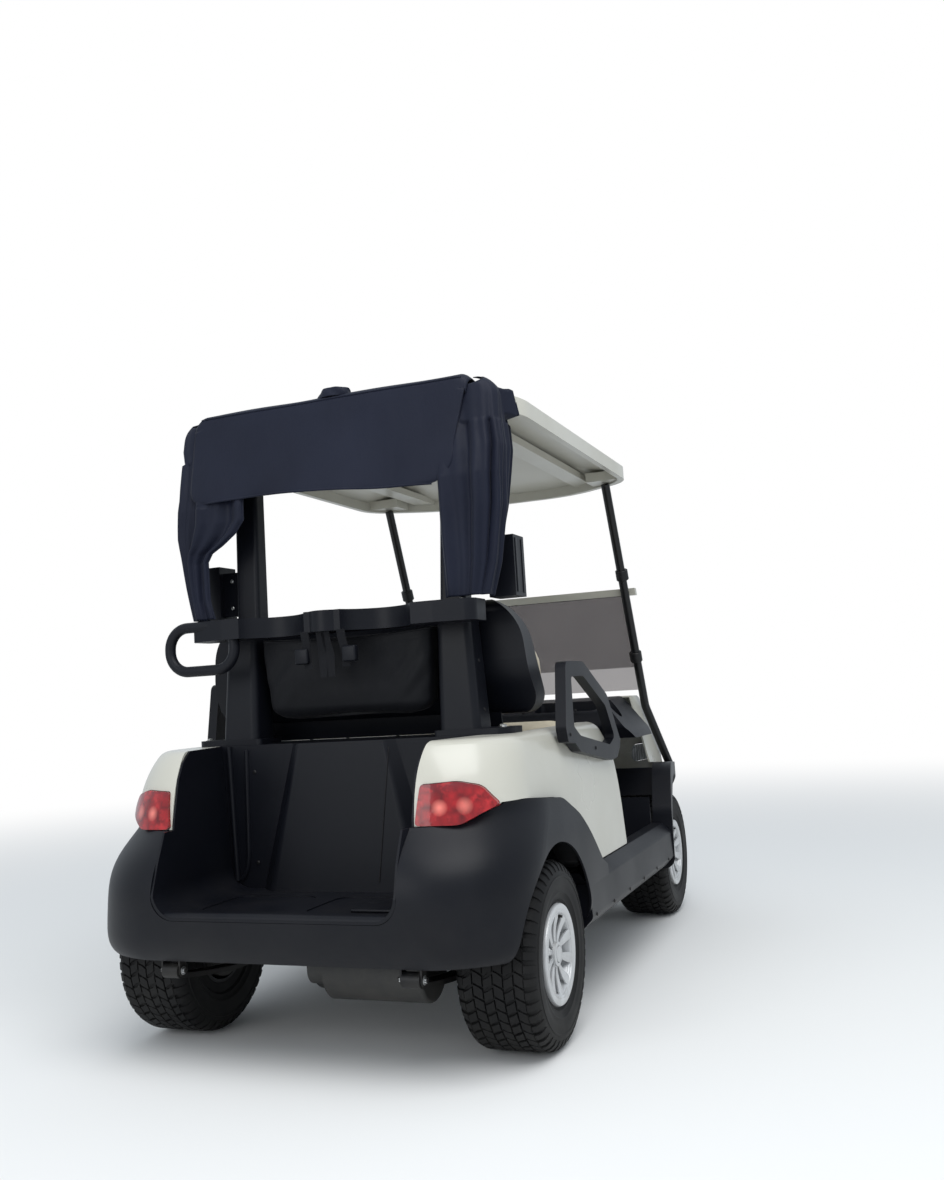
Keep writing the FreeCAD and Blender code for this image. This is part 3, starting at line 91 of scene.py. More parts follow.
surround = bpy.data.worlds.new("surround")
surround.use_nodes = True
bpy.context.scene.world = surround
sky = surround.node_tree
sky.nodes.clear()
sky_light = node_in(sky, "ShaderNodeBackground", Color=(0.86, 0.93, 1.0, 1), Strength=0.72)
sky_seen = node_in(sky, "ShaderNodeBackground", Color=(1, 1, 1, 1), Strength=1.0)
sky_ray = node_in(sky, "ShaderNodeLightPath")
seen_or_passed = node_in(sky, "ShaderNodeMath")
seen_or_passed.operation = "MAXIMUM"
sky_mix = node_in(sky, "ShaderNodeMixShader")
sky_out = node_in(sky, "ShaderNodeOutputWorld")
wired(
    sky, (sky_ray.outputs["Is Camera Ray"], seen_or_passed.inputs[0]),
    (sky_ray.outputs["Is Transmission Ray"], seen_or_passed.inputs[1]),
    (seen_or_passed.outputs[0], sky_mix.inputs[0]), (sky_light.outputs[0], sky_mix.inputs[1]),
    (sky_seen.outputs[0], sky_mix.inputs[2]), (sky_mix.outputs[0], sky_out.inputs[0]))

floor_mesh = bpy.data.meshes.new("studio_floor")
floor_reach = 60
floor_mesh.from_pydata(
    [(x * floor_reach, y * floor_reach, 0) for x, y in ((-1, -1), (1, -1), (1, 1), (-1, 1))], [], [(0, 1, 2, 3)])
studio_floor = bpy.data.objects.new("studio_floor", floor_mesh)
bpy.context.scene.collection.objects.link(studio_floor)
floor_finish = bpy.data.materials.new("pale_floor")
floor_finish.use_nodes = True
floor_mesh.materials.append(floor_finish)
pale = floor_finish.node_tree
pale.nodes.clear()
floor_matt = node_in(pale, "ShaderNodeBsdfDiffuse", Color=(0.80, 0.80, 0.79, 1))
floor_far = node_in(pale, "ShaderNodeEmission", Color=(1, 1, 1, 1), Strength=1.0)
floor_place = node_in(pale, "ShaderNodeTexCoord")
floor_distance = node_in(pale, "ShaderNodeVectorMath")
floor_distance.operation = "LENGTH"
floor_fade = node_in(pale, "ShaderNodeMapRange", From_Min=2.0, From_Max=9.0)
floor_fade.interpolation_type = "SMOOTHSTEP"
floor_ray = node_in(pale, "ShaderNodeLightPath")
floor_seen = node_in(pale, "ShaderNodeMath")
floor_seen.operation = "MULTIPLY"
floor_mix = node_in(pale, "ShaderNodeMixShader")
floor_out = node_in(pale, "ShaderNodeOutputMaterial")
wired(
    pale, (floor_place.outputs["Object"], floor_distance.inputs[0]),
    (floor_distance.outputs["Value"], floor_fade.inputs["Value"]), (floor_fade.outputs["Result"], floor_seen.inputs[0]),
    (floor_ray.outputs["Is Camera Ray"], floor_seen.inputs[1]), (floor_seen.outputs[0], floor_mix.inputs[0]),
    (floor_matt.outputs[0], floor_mix.inputs[1]), (floor_far.outputs[0], floor_mix.inputs[2]),
    (floor_mix.outputs[0], floor_out.inputs[0]))

for lamp_name, lamp_place, lamp_aim, lamp_size, lamp_watts in (
    ("overhead_lamp", (-2.0, 2.6, 5.2), (0, 0, 0.6), 4.0, 210),
    ("rear_fill_lamp", (1.5, 6.0, 2.4), (0, 0.8, 0.8), 3.0, 60),
):
    lamp = bpy.data.lights.new(lamp_name, "AREA")
    lamp.size = lamp_size
    lamp.energy = lamp_watts
    lamp_object = bpy.data.objects.new(lamp_name, lamp)
    lamp_object.location = lamp_place
    lamp_object.rotation_mode = "QUATERNION"
    lamp_object.rotation_quaternion = (Vector(lamp_aim) - Vector(lamp_place)).to_track_quat("-Z", "Y")
    bpy.context.scene.collection.objects.link(lamp_object)


# Chassis
# The welded box-section aluminium frame, its leaf springs, rear axle, motor, dampers and front arms.
# Everything is bare or painted metal that road dirt has dulled, bolted together with plated hardware.


def effect_group(name, inputs, outputs):
    """Starts a shader node group with named number inputs and named outputs."""
    group = bpy.data.node_groups.new(name, "ShaderNodeTree")
    for label, value in inputs:
        group.interface.new_socket(label, in_out="INPUT", socket_type="NodeSocketFloat").default_value = value
    for label, kind in outputs:
        group.interface.new_socket(label, in_out="OUTPUT", socket_type=kind)
    return group, group.nodes.new("NodeGroupInput"), group.nodes.new("NodeGroupOutput")


def object_place(tree):
    """The place on the piece, in metres."""
    return tree.nodes.new("ShaderNodeTexCoord").outputs["Object"]


def axes_of(tree, vector):
    """A vector's X, Y and Z."""
    parts = tree.nodes.new("ShaderNodeSeparateXYZ")
    tree.links.new(vector, parts.inputs[0])
    return parts.outputs


def math_in(tree, operation, first, second=None, third=None, clamp=False):
    """A Math node; each operand is a socket or a number."""
    node = tree.nodes.new("ShaderNodeMath")
    node.operation = operation
    node.use_clamp = clamp
    for slot, operand in enumerate((first, second, third)):
        if operand is None:
            continue
        if isinstance(operand, (int, float)):
            node.inputs[slot].default_value = operand
        else:
            tree.links.new(operand, node.inputs[slot])
    return node.outputs[0]


def noise_in(tree, coordinates, scale, detail=2.0, roughness=0.5):
    """A noise value; scale is a socket or a number."""
    noise = tree.nodes.new("ShaderNodeTexNoise")
    noise.inputs["Detail"].default_value = detail
    noise.inputs["Roughness"].default_value = roughness
    tree.links.new(coordinates, noise.inputs["Vector"])
    if isinstance(scale, (int, float)):
        noise.inputs["Scale"].default_value = scale
    else:
        tree.links.new(scale, noise.inputs["Scale"])
    return noise.outputs["Fac"]


def remapped(tree, value, low, high, to_low=0.0, to_high=1.0):
    """Turns a range of a value into another, clamped at both ends."""
    spread = tree.nodes.new("ShaderNodeMapRange")
    for name, bound in (("From Min", low), ("From Max", high), ("To Min", to_low), ("To Max", to_high)):
        if isinstance(bound, (int, float)):
            spread.inputs[name].default_value = bound
        else:
            tree.links.new(bound, spread.inputs[name])
    tree.links.new(value, spread.inputs["Value"])
    return spread.outputs["Result"]


def blended(tree, amount, first, second):
    """Mixes two colours; each is a socket or a colour."""
    mix = tree.nodes.new("ShaderNodeMix")
    mix.data_type = "RGBA"
    for slot, colour in ((6, first), (7, second)):
        if isinstance(colour, tuple):
            mix.inputs[slot].default_value = colour
        else:
            tree.links.new(colour, mix.inputs[slot])
    if isinstance(amount, (int, float)):
        mix.inputs[0].default_value = amount
    else:
        tree.links.new(amount, mix.inputs[0])
    return mix.outputs[2]


def make_road_dust():
    """Dust that lies thickest near the ground and on upward faces."""
    group, given, result = effect_group(
        "road_dust",
        [("Clean Height", 0.6), ("Dirty Height", 0.1), ("Amount", 0.5), ("Patch Scale", 9.0)],
        [("Mask", "NodeSocketFloat")])
    place = object_place(group)
    facing = axes_of(group, group.nodes.new("ShaderNodeNewGeometry").outputs["Normal"])
    low = remapped(group, axes_of(group, place)["Z"], given.outputs["Clean Height"], given.outputs["Dirty Height"])
    patches = noise_in(group, place, given.outputs["Patch Scale"], 6.0, 0.62)
    up = remapped(group, facing["Z"], 0.2, 1.0, 0.0, 0.35)
    heap = math_in(group, "ADD", math_in(group, "MULTIPLY", low, 0.85), up)
    speckled = math_in(group, "MULTIPLY", heap, remapped(group, patches, 0.36, 0.66))
    group.links.new(math_in(group, "MULTIPLY", speckled, given.outputs["Amount"], clamp=True), result.inputs["Mask"])
    return group


def make_moulded_grain():
    """The pebbled skin of moulded plastic and rolled metal, with slow unevenness."""
    group, given, result = effect_group(
        "moulded_grain",
        [("Grain Scale", 700.0), ("Drift Scale", 3.0)],
        [("Grain", "NodeSocketFloat"), ("Drift", "NodeSocketFloat")])
    place = object_place(group)
    pebbles = group.nodes.new("ShaderNodeTexVoronoi")
    pebbles.feature = "SMOOTH_F1"
    wired(
        group, (place, pebbles.inputs["Vector"]), (given.outputs["Grain Scale"], pebbles.inputs["Scale"]),
        (pebbles.outputs["Distance"], result.inputs["Grain"]),
        (noise_in(group, place, given.outputs["Drift Scale"], 3.0), result.inputs["Drift"]))
    return group


road_dust = make_road_dust()
moulded_grain = make_moulded_grain()
dust_colour = (0.30, 0.27, 0.22, 1)


def effect_in(tree, group, **values):
    """Places a shared effect in a material with its own values."""
    node = tree.nodes.new("ShaderNodeGroup")
    node.node_tree = group
    for name, value in values.items():
        node.inputs[name.replace("_", " ")].default_value = value
    return node.outputs


def bump_in(tree, height, distance, strength=1.0, over=None):
    """A normal from a height in metres, over another normal if one is given."""
    bump = tree.nodes.new("ShaderNodeBump")
    bump.inputs["Distance"].default_value = distance
    bump.inputs["Strength"].default_value = strength
    tree.links.new(height, bump.inputs["Height"])
    if over:
        tree.links.new(over, bump.inputs["Normal"])
    return bump.outputs["Normal"]


def surface(name, metallic=0.0, coat=0.0, coat_roughness=0.1, sheen=0.0, specular=0.5):
    """A new material with its shader; plain numbers stay on the shader itself."""
    material = bpy.data.materials.new(name)
    material.use_nodes = True
    shader = material.node_tree.nodes["Principled BSDF"]
    shader.inputs["Metallic"].default_value = metallic
    shader.inputs["Coat Weight"].default_value = coat
    shader.inputs["Coat Roughness"].default_value = coat_roughness
    shader.inputs["Sheen Weight"].default_value = sheen
    shader.inputs["Specular IOR Level"].default_value = specular
    return material, material.node_tree, shader


def dressed(tree, shader, colour, roughness, normal):
    """Gives a shader its colour, roughness and normal."""
    wired(tree, (colour, shader.inputs["Base Color"]), (roughness, shader.inputs["Roughness"]),
          (normal, shader.inputs["Normal"]))


def moulded_or_painted(name, colour, drift_colour, roughness, grain_scale, grain_depth,
                       dust=0.0, clean_height=0.6, metallic=0.0, coat=0.0, specular=0.5):
    """Plastic, paint or metal: slow colour drift, a fine grain, and dust below a height."""
    material, tree, shader = surface(name, metallic, coat, specular=specular)
    grain = effect_in(tree, moulded_grain, Grain_Scale=grain_scale, Drift_Scale=3.2)
    clean = blended(tree, remapped(tree, grain["Drift"], 0.35, 0.65), colour, drift_colour)
    gloss = remapped(tree, grain["Drift"], 0.3, 0.7, roughness - 0.05, roughness + 0.06)
    if dust > 0:
        dirt = effect_in(tree, road_dust, Clean_Height=clean_height, Dirty_Height=0.12, Amount=dust)["Mask"]
        clean = blended(tree, dirt, clean, dust_colour)
        gloss = math_in(tree, "MULTIPLY_ADD", dirt, 0.4, gloss, clamp=True)
    dressed(tree, shader, clean, gloss, bump_in(tree, grain["Grain"], grain_depth))
    return material


def finished(nodes, material):
    """Gives CAD nodes their finish."""
    for name in nodes:
        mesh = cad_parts[name].data
        mesh.materials.clear()
        mesh.materials.append(material)


frame_aluminium = moulded_or_painted(
    "frame_aluminium", (0.30, 0.31, 0.32, 1), (0.22, 0.22, 0.22, 1), 0.48, 900, 0.00006,
    dust=0.3, clean_height=0.5, metallic=0.85)
black_steel = moulded_or_painted(
    "black_steel", (0.006, 0.006, 0.007, 1), (0.010, 0.010, 0.011, 1), 0.42, 800, 0.00008,
    dust=0.08, clean_height=0.55, specular=0.3)
cast_housing = moulded_or_painted(
    "cast_housing", (0.022, 0.023, 0.024, 1), (0.040, 0.040, 0.039, 1), 0.55, 350, 0.0003,
    dust=0.10, clean_height=0.5, metallic=0.3)
finished(["frame_rails"], frame_aluminium)
finished(["leaf_springs", "dampers", "front_suspension", "knuckle_left", "knuckle_right"], black_steel)
finished(["rear_axle", "motor", "steering_rods"], cast_housing)


def tree_with(name, inputs):
    """Starts a Geometry Nodes tree with named inputs; it ends in one geometry."""
    tree = bpy.data.node_groups.new(name, "GeometryNodeTree")
    tree.interface.new_socket("Geometry", in_out="INPUT", socket_type="NodeSocketGeometry")
    for label, kind in inputs:
        tree.interface.new_socket(label, in_out="INPUT", socket_type=kind)
    tree.interface.new_socket("Geometry", in_out="OUTPUT", socket_type="NodeSocketGeometry")
    return tree, tree.nodes.new("NodeGroupInput"), tree.nodes.new("NodeGroupOutput")


def made_real(tree, instances, given, result):
    """Ends a tree: copies become one mesh, which gets its finish."""
    real = tree.nodes.new("GeometryNodeRealizeInstances")
    finish = tree.nodes.new("GeometryNodeSetMaterial")
    wired(
        tree, (instances, real.inputs["Geometry"]), (real.outputs["Geometry"], finish.inputs["Geometry"]),
        (given.outputs["Finish"], finish.inputs["Material"]), (finish.outputs["Geometry"], result.inputs["Geometry"]))


def make_units_on_points():
    """One unit on each point, its own Z along the point's facing."""
    tree, given, result = tree_with(
        "units_on_points", [("Unit", "NodeSocketObject"), ("Finish", "NodeSocketMaterial")])
    facing = tree.nodes.new("GeometryNodeInputNamedAttribute")
    facing.data_type = "FLOAT_VECTOR"
    facing.inputs["Name"].default_value = "facing"
    turn = tree.nodes.new("FunctionNodeAlignRotationToVector")
    turn.axis = "Z"
    unit = tree.nodes.new("GeometryNodeObjectInfo")
    place = tree.nodes.new("GeometryNodeInstanceOnPoints")
    wired(
        tree, (facing.outputs["Attribute"], turn.inputs["Vector"]), (given.outputs["Unit"], unit.inputs["Object"]),
        (given.outputs["Geometry"], place.inputs["Points"]), (unit.outputs["Geometry"], place.inputs["Instance"]),
        (turn.outputs["Rotation"], place.inputs["Rotation"]))
    made_real(tree, place.outputs["Instances"], given, result)
    return tree


def make_bar_on_path():
    """A round bar, bead or piping along the base's edges."""
    tree, given, result = tree_with("bar_on_path", [("Radius", "NodeSocketFloat"), ("Finish", "NodeSocketMaterial")])
    path = tree.nodes.new("GeometryNodeMeshToCurve")
    ring = tree.nodes.new("GeometryNodeCurvePrimitiveCircle")
    ring.inputs["Resolution"].default_value = 10
    bar = tree.nodes.new("GeometryNodeCurveToMesh")
    bar.inputs["Fill Caps"].default_value = True
    wired(
        tree, (given.outputs["Geometry"], path.inputs["Mesh"]), (given.outputs["Radius"], ring.inputs["Radius"]),
        (path.outputs["Curve"], bar.inputs["Curve"]), (ring.outputs["Curve"], bar.inputs["Profile Curve"]))
    made_real(tree, bar.outputs["Mesh"], given, result)
    return tree


units_on_points = make_units_on_points()
bar_on_path = make_bar_on_path()


def linked(name, mesh):
    """A new object for a mesh, at the origin."""
    made = bpy.data.objects.new(name, mesh)
    bpy.context.scene.collection.objects.link(made)
    return made


def mesh_of(name, verts, faces):
    """A mesh from its points and faces."""
    mesh = bpy.data.meshes.new(name)
    mesh.from_pydata(verts, [], faces)
    return mesh


def riding(name, mesh, finish, body="cart"):
    """A piece in its finish that rides on a body, or on none."""
    mesh.materials.clear()
    mesh.materials.append(finish)
    made = linked(name, mesh)
    if body:
        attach(made, body)
    return made


def shaded(mesh, smooth=True, angle=math.radians(35)):
    """Smooth faces with sharp edges kept; normals recalculated on merged points."""
    work = bmesh.new()
    work.from_mesh(mesh)
    bmesh.ops.remove_doubles(work, verts=work.verts, dist=0.00001)
    bmesh.ops.recalc_face_normals(work, faces=work.faces)
    for face in work.faces:
        face.smooth = smooth
    for edge in work.edges:
        edge.smooth = len(edge.link_faces) != 2 or edge.calc_face_angle(0) < angle
    work.to_mesh(mesh)
    work.free()
    return mesh


def grown(name, base, tree, body, finish, **values):
    """Runs a tree on a base mesh and keeps the result as a plain mesh that rides on a body."""
    carrier = linked(name + "_base", base)
    growth = carrier.modifiers.new("growth", "NODES")
    growth.node_group = tree
    values["Finish"] = finish
    for socket in tree.interface.items_tree:
        if socket.in_out == "INPUT" and socket.name in values:
            growth[socket.identifier] = values[socket.name]
    carrier.update_tag()
    bpy.context.view_layer.update()
    evaluated = carrier.evaluated_get(bpy.context.evaluated_depsgraph_get())
    mesh = bpy.data.meshes.new_from_object(evaluated)
    bpy.data.objects.remove(carrier)
    return riding(name, shaded(mesh), finish, body)


def turned(name, profile, sides, axis="Z", closed=False):
    """A mesh turned about an axis from (along, radius) pairs; open profiles get flat ends."""
    verts, faces = [], []
    for along, radius in profile:
        for side in range(sides):
            angle = 2 * math.pi * side / sides
            a, b = radius * math.cos(angle), radius * math.sin(angle)
            verts.append((along, a, b) if axis == "X" else (a, b, along))
    rings = len(profile)
    for ring in range(rings if closed else rings - 1):
        for side in range(sides):
            here, on = ring * sides, (ring + 1) % rings * sides
            turn = (side + 1) % sides
            faces.append((here + side, here + turn, on + turn, on + side))
    if not closed:
        faces.append(tuple(range(sides)))
        faces.append(tuple((rings - 1) * sides + side for side in range(sides)))
    return shaded(mesh_of(name, verts, faces))


def joined_mesh(name, meshes):
    """Several meshes as one."""
    work = bmesh.new()
    for mesh in meshes:
        work.from_mesh(mesh)
    whole = bpy.data.meshes.new(name)
    work.to_mesh(whole)
    work.free()
    return whole


def fixed_at(name, unit, places, finish, body="cart"):
    """Puts a unit at each (point, facing) pair, as bolts, screws and stitches are."""
    base = mesh_of(name + "_points", [place for place, _ in places], [])
    facing = base.attributes.new("facing", "FLOAT_VECTOR", "POINT")
    facing.data.foreach_set("vector", [value for _, way in places for value in way])
    pattern = linked(name + "_unit", unit)
    made = grown(name, base, units_on_points, body, finish, Unit=pattern)
    bpy.data.objects.remove(pattern)
    return made


def along_path(name, points, radius, finish, body="cart", closed=False):
    """A round bar along points."""
    base = bpy.data.meshes.new(name + "_path")
    edges = [(at, at + 1) for at in range(len(points) - 1)]
    if closed:
        edges.append((len(points) - 1, 0))
    base.from_pydata(points, edges, [])
    return grown(name, base, bar_on_path, body, finish, Radius=radius)


def both(place):
    """A point or facing and its mirror image."""
    x, y, z = place
    return [(x, y, z), (-x, y, z)]


def mirrored_places(places):
    """Each (point, facing) pair and its mirror image."""
    return [pair for place, way in places for pair in zip(both(place), both(way))]


def screwed(name, places):
    """Black pan screws at each place and at its mirror image."""
    return fixed_at(name, pan_screw, mirrored_places(places), black_steel)


hex_bolt = joined_mesh("hex_bolt", [
    turned("washer", [(0, 0.0105), (0.0012, 0.011), (0.0016, 0.0104)], 20),
    turned("hex_head", [(0.0014, 0.0074), (0.0062, 0.0074), (0.0068, 0.0064)], 6)])
pan_screw = turned("pan_screw", [(0, 0.0055), (0.0012, 0.0054), (0.0024, 0.0042), (0.0029, 0.0022)], 14)
zinc_plate = moulded_or_painted(
    "zinc_plate", (0.52, 0.53, 0.54, 1), (0.40, 0.40, 0.38, 1), 0.36, 1400, 0.00002, metallic=0.9)
ribbed_sleeve = turned(
    "ribbed_sleeve",
    [(-0.022, 0.009), (-0.022, 0.014)]
    + [(-0.020 + 0.002 * step, 0.0168 if step % 2 else 0.0148) for step in range(21)]
    + [(0.022, 0.014), (0.022, 0.009)], 28)
rear_axle_y, axle_height, bolt_circle, shackle_half = 0.790, 0.2285, 0.062, 0.028
bush_points = [((spring_x, 1.1085, eye_z), (1, 0, 0)) for eye_z in (0.237, 0.283) for spring_x in (-0.331, 0.331)]
fixed_at("shackle_sleeves", ribbed_sleeve, bush_points, zinc_plate)
fixed_at(
    "shackle_nuts", hex_bolt,
    [((x + way * shackle_half, y, z), (way, 0, 0)) for (x, y, z), _ in bush_points for way in (-1, 1)], zinc_plate)
fixed_at(
    "housing_bolts", hex_bolt,
    [((0.096, rear_axle_y + bolt_circle * math.cos(turn), axle_height + bolt_circle * math.sin(turn)), (1, 0, 0))
     for turn in [math.pi * step / 4 for step in range(8)]], zinc_plate)


# Wheels
# Turf tyres, 18 inches across, moulded in black rubber with rows of small blocks and ribbed side walls.
# Each sits on a pressed steel wheel behind a snap-on silver cover with ten crowned spokes.
tyre_rubber, rubber_tree, rubber_shader = surface("tyre_rubber", specular=0.2)
rubber_grain = effect_in(rubber_tree, moulded_grain, Grain_Scale=520, Drift_Scale=6.0)
rubber_dirt = effect_in(rubber_tree, road_dust, Clean_Height=0.42, Dirty_Height=0.02, Amount=0.10)["Mask"]
rubber_clean = blended(rubber_tree, rubber_grain["Drift"], (0.0045, 0.0045, 0.0052, 1), (0.0075, 0.0075, 0.0080, 1))
dressed(
    rubber_tree, rubber_shader, blended(rubber_tree, rubber_dirt, rubber_clean, (0.10, 0.095, 0.078, 1)),
    remapped(rubber_tree, rubber_grain["Drift"], 0.3, 0.7, 0.5, 0.66),
    bump_in(rubber_tree, rubber_grain["Grain"], 0.00012))

tyre_side = [
    (0.0875, 0.1024), (0.0880, 0.1270), (0.0905, 0.1300), (0.0935, 0.1330), (0.0935, 0.1350), (0.0945, 0.1390),
    (0.0985, 0.1480), (0.0995, 0.1490), (0.1000, 0.1520), (0.0998, 0.1560), (0.1015, 0.1640), (0.1028, 0.1720),
    (0.1024, 0.1850), (0.1036, 0.1860), (0.1036, 0.1900), (0.1018, 0.1912), (0.1000, 0.2000), (0.0945, 0.2110),
    (0.0860, 0.2180), (0.0740, 0.2215), (0.0400, 0.2232)]
tyre_inside = [(0.0, 0.2150), (0.060, 0.2130), (0.083, 0.2000), (0.089, 0.1700), (0.074, 0.1240), (0.0740, 0.1024)]
tyre_profile = (
    tyre_side + [(0.0, 0.2238)] + [(-x, r) for x, r in reversed(tyre_side)]
    + [(-x, r) for x, r in reversed(tyre_inside[1:])] + tyre_inside)
carcass = turned("carcass", tyre_profile, 120, "X", closed=True)


def on_tyre(points):
    """Bends (across, along, radius) points round the tyre."""
    return [(x, r * math.sin(along / axle_height), r * math.cos(along / axle_height)) for x, along, r in points]


def tread_block(corners, low):
    """A block with drafted sides from (across, along, radius) top corners, in order round it."""
    centre_x = sum(x for x, _, _ in corners) / len(corners)
    centre_y = sum(along for _, along, _ in corners) / len(corners)
    base = [(centre_x + (x - centre_x) * 1.14, centre_y + (y - centre_y) * 1.14, min(r, low)) for x, y, r in corners]
    count = len(corners)
    faces = [tuple(range(count)), tuple(range(2 * count - 1, count - 1, -1))]
    faces += [(side, side + count, (side + 1) % count + count, (side + 1) % count) for side in range(count)]
    return on_tyre(corners + base), faces


tread_steps = 46
block_half = 0.0118
ridge_half, ridge_depth = 0.0088, 0.008
tread_verts, tread_faces = [], []
for row, (row_x, half_across, skew) in enumerate((
        (-0.0640, 0.0105, 0.006), (-0.0385, 0.0110, -0.006), (-0.0128, 0.0108, 0.006),
        (0.0128, 0.0108, -0.006), (0.0385, 0.0110, 0.006), (0.0640, 0.0105, -0.006))):
    shift = 0.0078 * (row % 2)
    top = 0.2284 if abs(row_x) < 0.06 else 0.2278
    block = tread_block([
        (row_x - half_across, shift - block_half - skew, top), (row_x, shift - block_half + skew * 0.4, top),
        (row_x + half_across, shift - block_half + skew, top), (row_x + half_across, shift + block_half + skew, top),
        (row_x, shift + block_half - skew * 0.2, top), (row_x - half_across, shift + block_half - skew, top)], 0.2205)
    tread_faces += [tuple(at + len(tread_verts) for at in face) for face in block[1]]
    tread_verts += block[0]
for way in (-1, 1):
    rise = [(x, along, r) for x, r in ((0.0765, 0.2272), (0.0880, 0.2225), (0.0962, 0.2135), (0.1012, 0.2010))
            for along in (-ridge_half, ridge_half)]
    start = len(tread_verts)
    tread_verts += on_tyre([(way * x, along, r) for x, along, r in rise] + [
        (way * (x - ridge_depth), along * 1.2, r - ridge_depth) for x, along, r in rise])
    for at in range(3):
        left, on = start + 2 * at, start + 2 * at + 2
        tread_faces += [
            (left, left + 1, on + 1, on), (left, on, on + 8, left + 8), (left + 1, left + 9, on + 9, on + 1),
            (left + 8, on + 8, on + 9, left + 9)]
    tread_faces += [(start, start + 8, start + 9, start + 1), (start + 6, start + 7, start + 15, start + 14)]
tread_unit_mesh = shaded(mesh_of("tread_unit", tread_verts, tread_faces), smooth=False)


def make_turned_copies():
    """Even copies of a unit turned about the X axis."""
    tree, given, result = tree_with(
        "turned_copies",
        [("Unit", "NodeSocketObject"), ("Count", "NodeSocketInt"), ("Finish", "NodeSocketMaterial")])
    points = tree.nodes.new("GeometryNodePoints")
    unit = tree.nodes.new("GeometryNodeObjectInfo")
    place = tree.nodes.new("GeometryNodeInstanceOnPoints")
    turn = tree.nodes.new("ShaderNodeCombineXYZ")
    index = tree.nodes.new("GeometryNodeInputIndex")
    share = math_in(tree, "DIVIDE", index.outputs["Index"], given.outputs["Count"])
    wired(
        tree, (math_in(tree, "MULTIPLY", share, 2 * math.pi), turn.inputs["X"]),
        (given.outputs["Count"], points.inputs["Count"]), (given.outputs["Unit"], unit.inputs["Object"]),
        (points.outputs["Points"], place.inputs["Points"]), (unit.outputs["Geometry"], place.inputs["Instance"]),
        (turn.outputs["Vector"], place.inputs["Rotation"]))
    made_real(tree, place.outputs["Instances"], given, result)
    return tree


turned_copies = make_turned_copies()


def round_wheel(name, unit, count, finish):
    """Even copies of a unit round a wheel at the origin, as a loose mesh."""
    pattern = linked(name + "_unit", unit)
    made = grown(name, bpy.data.meshes.new(name + "_seed"), turned_copies, None, finish, Unit=pattern, Count=count)
    mesh = made.data
    bpy.data.objects.remove(made)
    bpy.data.objects.remove(pattern)
    return mesh


tread = round_wheel("tread", tread_unit_mesh, tread_steps, tyre_rubber)
tyre_mesh = joined_mesh("tyre", [carcass, tread])

spoke_stations = [
    (0.0262, 0.0835, 0.0050), (0.040, 0.0832, 0.0066), (0.056, 0.0845, 0.0088),
    (0.072, 0.0872, 0.0112), (0.086, 0.0908, 0.0128), (0.0975, 0.0935, 0.0138)]
spoke_section = [(-1.0, -0.004), (-1.0, 0.0), (-0.62, 0.0016), (-0.2, 0.0008), (0.2, 0.0008), (0.62, 0.0016),
                 (1.0, 0.0), (1.0, -0.004)]
spoke_verts = [
    (out + lift, half * across, reach) for reach, out, half in spoke_stations for across, lift in spoke_section]
corners_each = len(spoke_section)
spoke_faces = [
    (row * corners_each + at, row * corners_each + (at + 1) % corners_each,
     (row + 1) * corners_each + (at + 1) % corners_each, (row + 1) * corners_each + at)
    for row in range(len(spoke_stations) - 1) for at in range(corners_each)]
spoke_faces += [tuple(range(corners_each)), tuple(range(len(spoke_verts) - corners_each, len(spoke_verts)))]
spoke_unit_mesh = shaded(mesh_of("spoke_unit", spoke_verts, spoke_faces), angle=math.radians(50))
wheel_silver, silver_tree, silver_shader = surface("wheel_silver", metallic=0.25, coat=0.3, coat_roughness=0.2)
silver_flake = effect_in(silver_tree, moulded_grain, Grain_Scale=2400, Drift_Scale=9.0)
silver_dirt = effect_in(
    silver_tree, road_dust, Clean_Height=0.42, Dirty_Height=0.05, Amount=0.45, Patch_Scale=22.0)["Mask"]
silver_clean = blended(silver_tree, silver_flake["Drift"], (0.50, 0.51, 0.52, 1), (0.60, 0.61, 0.62, 1))
dressed(
    silver_tree, silver_shader, blended(silver_tree, silver_dirt, silver_clean, (0.20, 0.18, 0.15, 1)),
    remapped(silver_tree, silver_dirt, 0.0, 0.5, 0.30, 0.6), bump_in(silver_tree, silver_flake["Grain"], 0.00003))
spokes_mesh = round_wheel("spokes", spoke_unit_mesh, 10, wheel_silver)
cover_ring = turned("cover_ring", [
    (0.0890, 0.0960), (0.0962, 0.0985), (0.0984, 0.1020), (0.0972, 0.1050), (0.0988, 0.1085), (0.0992, 0.1160),
    (0.0982, 0.1205), (0.0952, 0.1222), (0.0885, 0.1222)], 96, "X", closed=True)
hub_ring = turned("hub_ring", [
    (0.0820, 0.0300), (0.0905, 0.0292), (0.0925, 0.0262), (0.0925, 0.0226), (0.0900, 0.0200), (0.0820, 0.0200)],
    48, "X", closed=True)
hub_cap = turned("hub_cap", [(0.088, 0.0195), (0.0932, 0.0185), (0.0948, 0.0130), (0.0952, 0.0050)], 40, "X")
cover_mesh = joined_mesh("wheel_cover", [spokes_mesh, cover_ring, hub_ring, hub_cap])
lug_nut = turned("lug_nut", [(0.0, 0.0105), (0.012, 0.0105), (0.016, 0.007)], 6, "X")
lug_nut.transform(Matrix.Translation((0.030, 0.0, 0.052)))
nuts_mesh = round_wheel("lug_nuts", lug_nut, 4, zinc_plate)
valve_stem = turned("valve_stem", [(0.060, 0.0048), (0.078, 0.0042), (0.079, 0.0034), (0.098, 0.0034)], 12, "X")
valve_stem.transform(Matrix.Translation((0.0, 0.028, 0.086)))


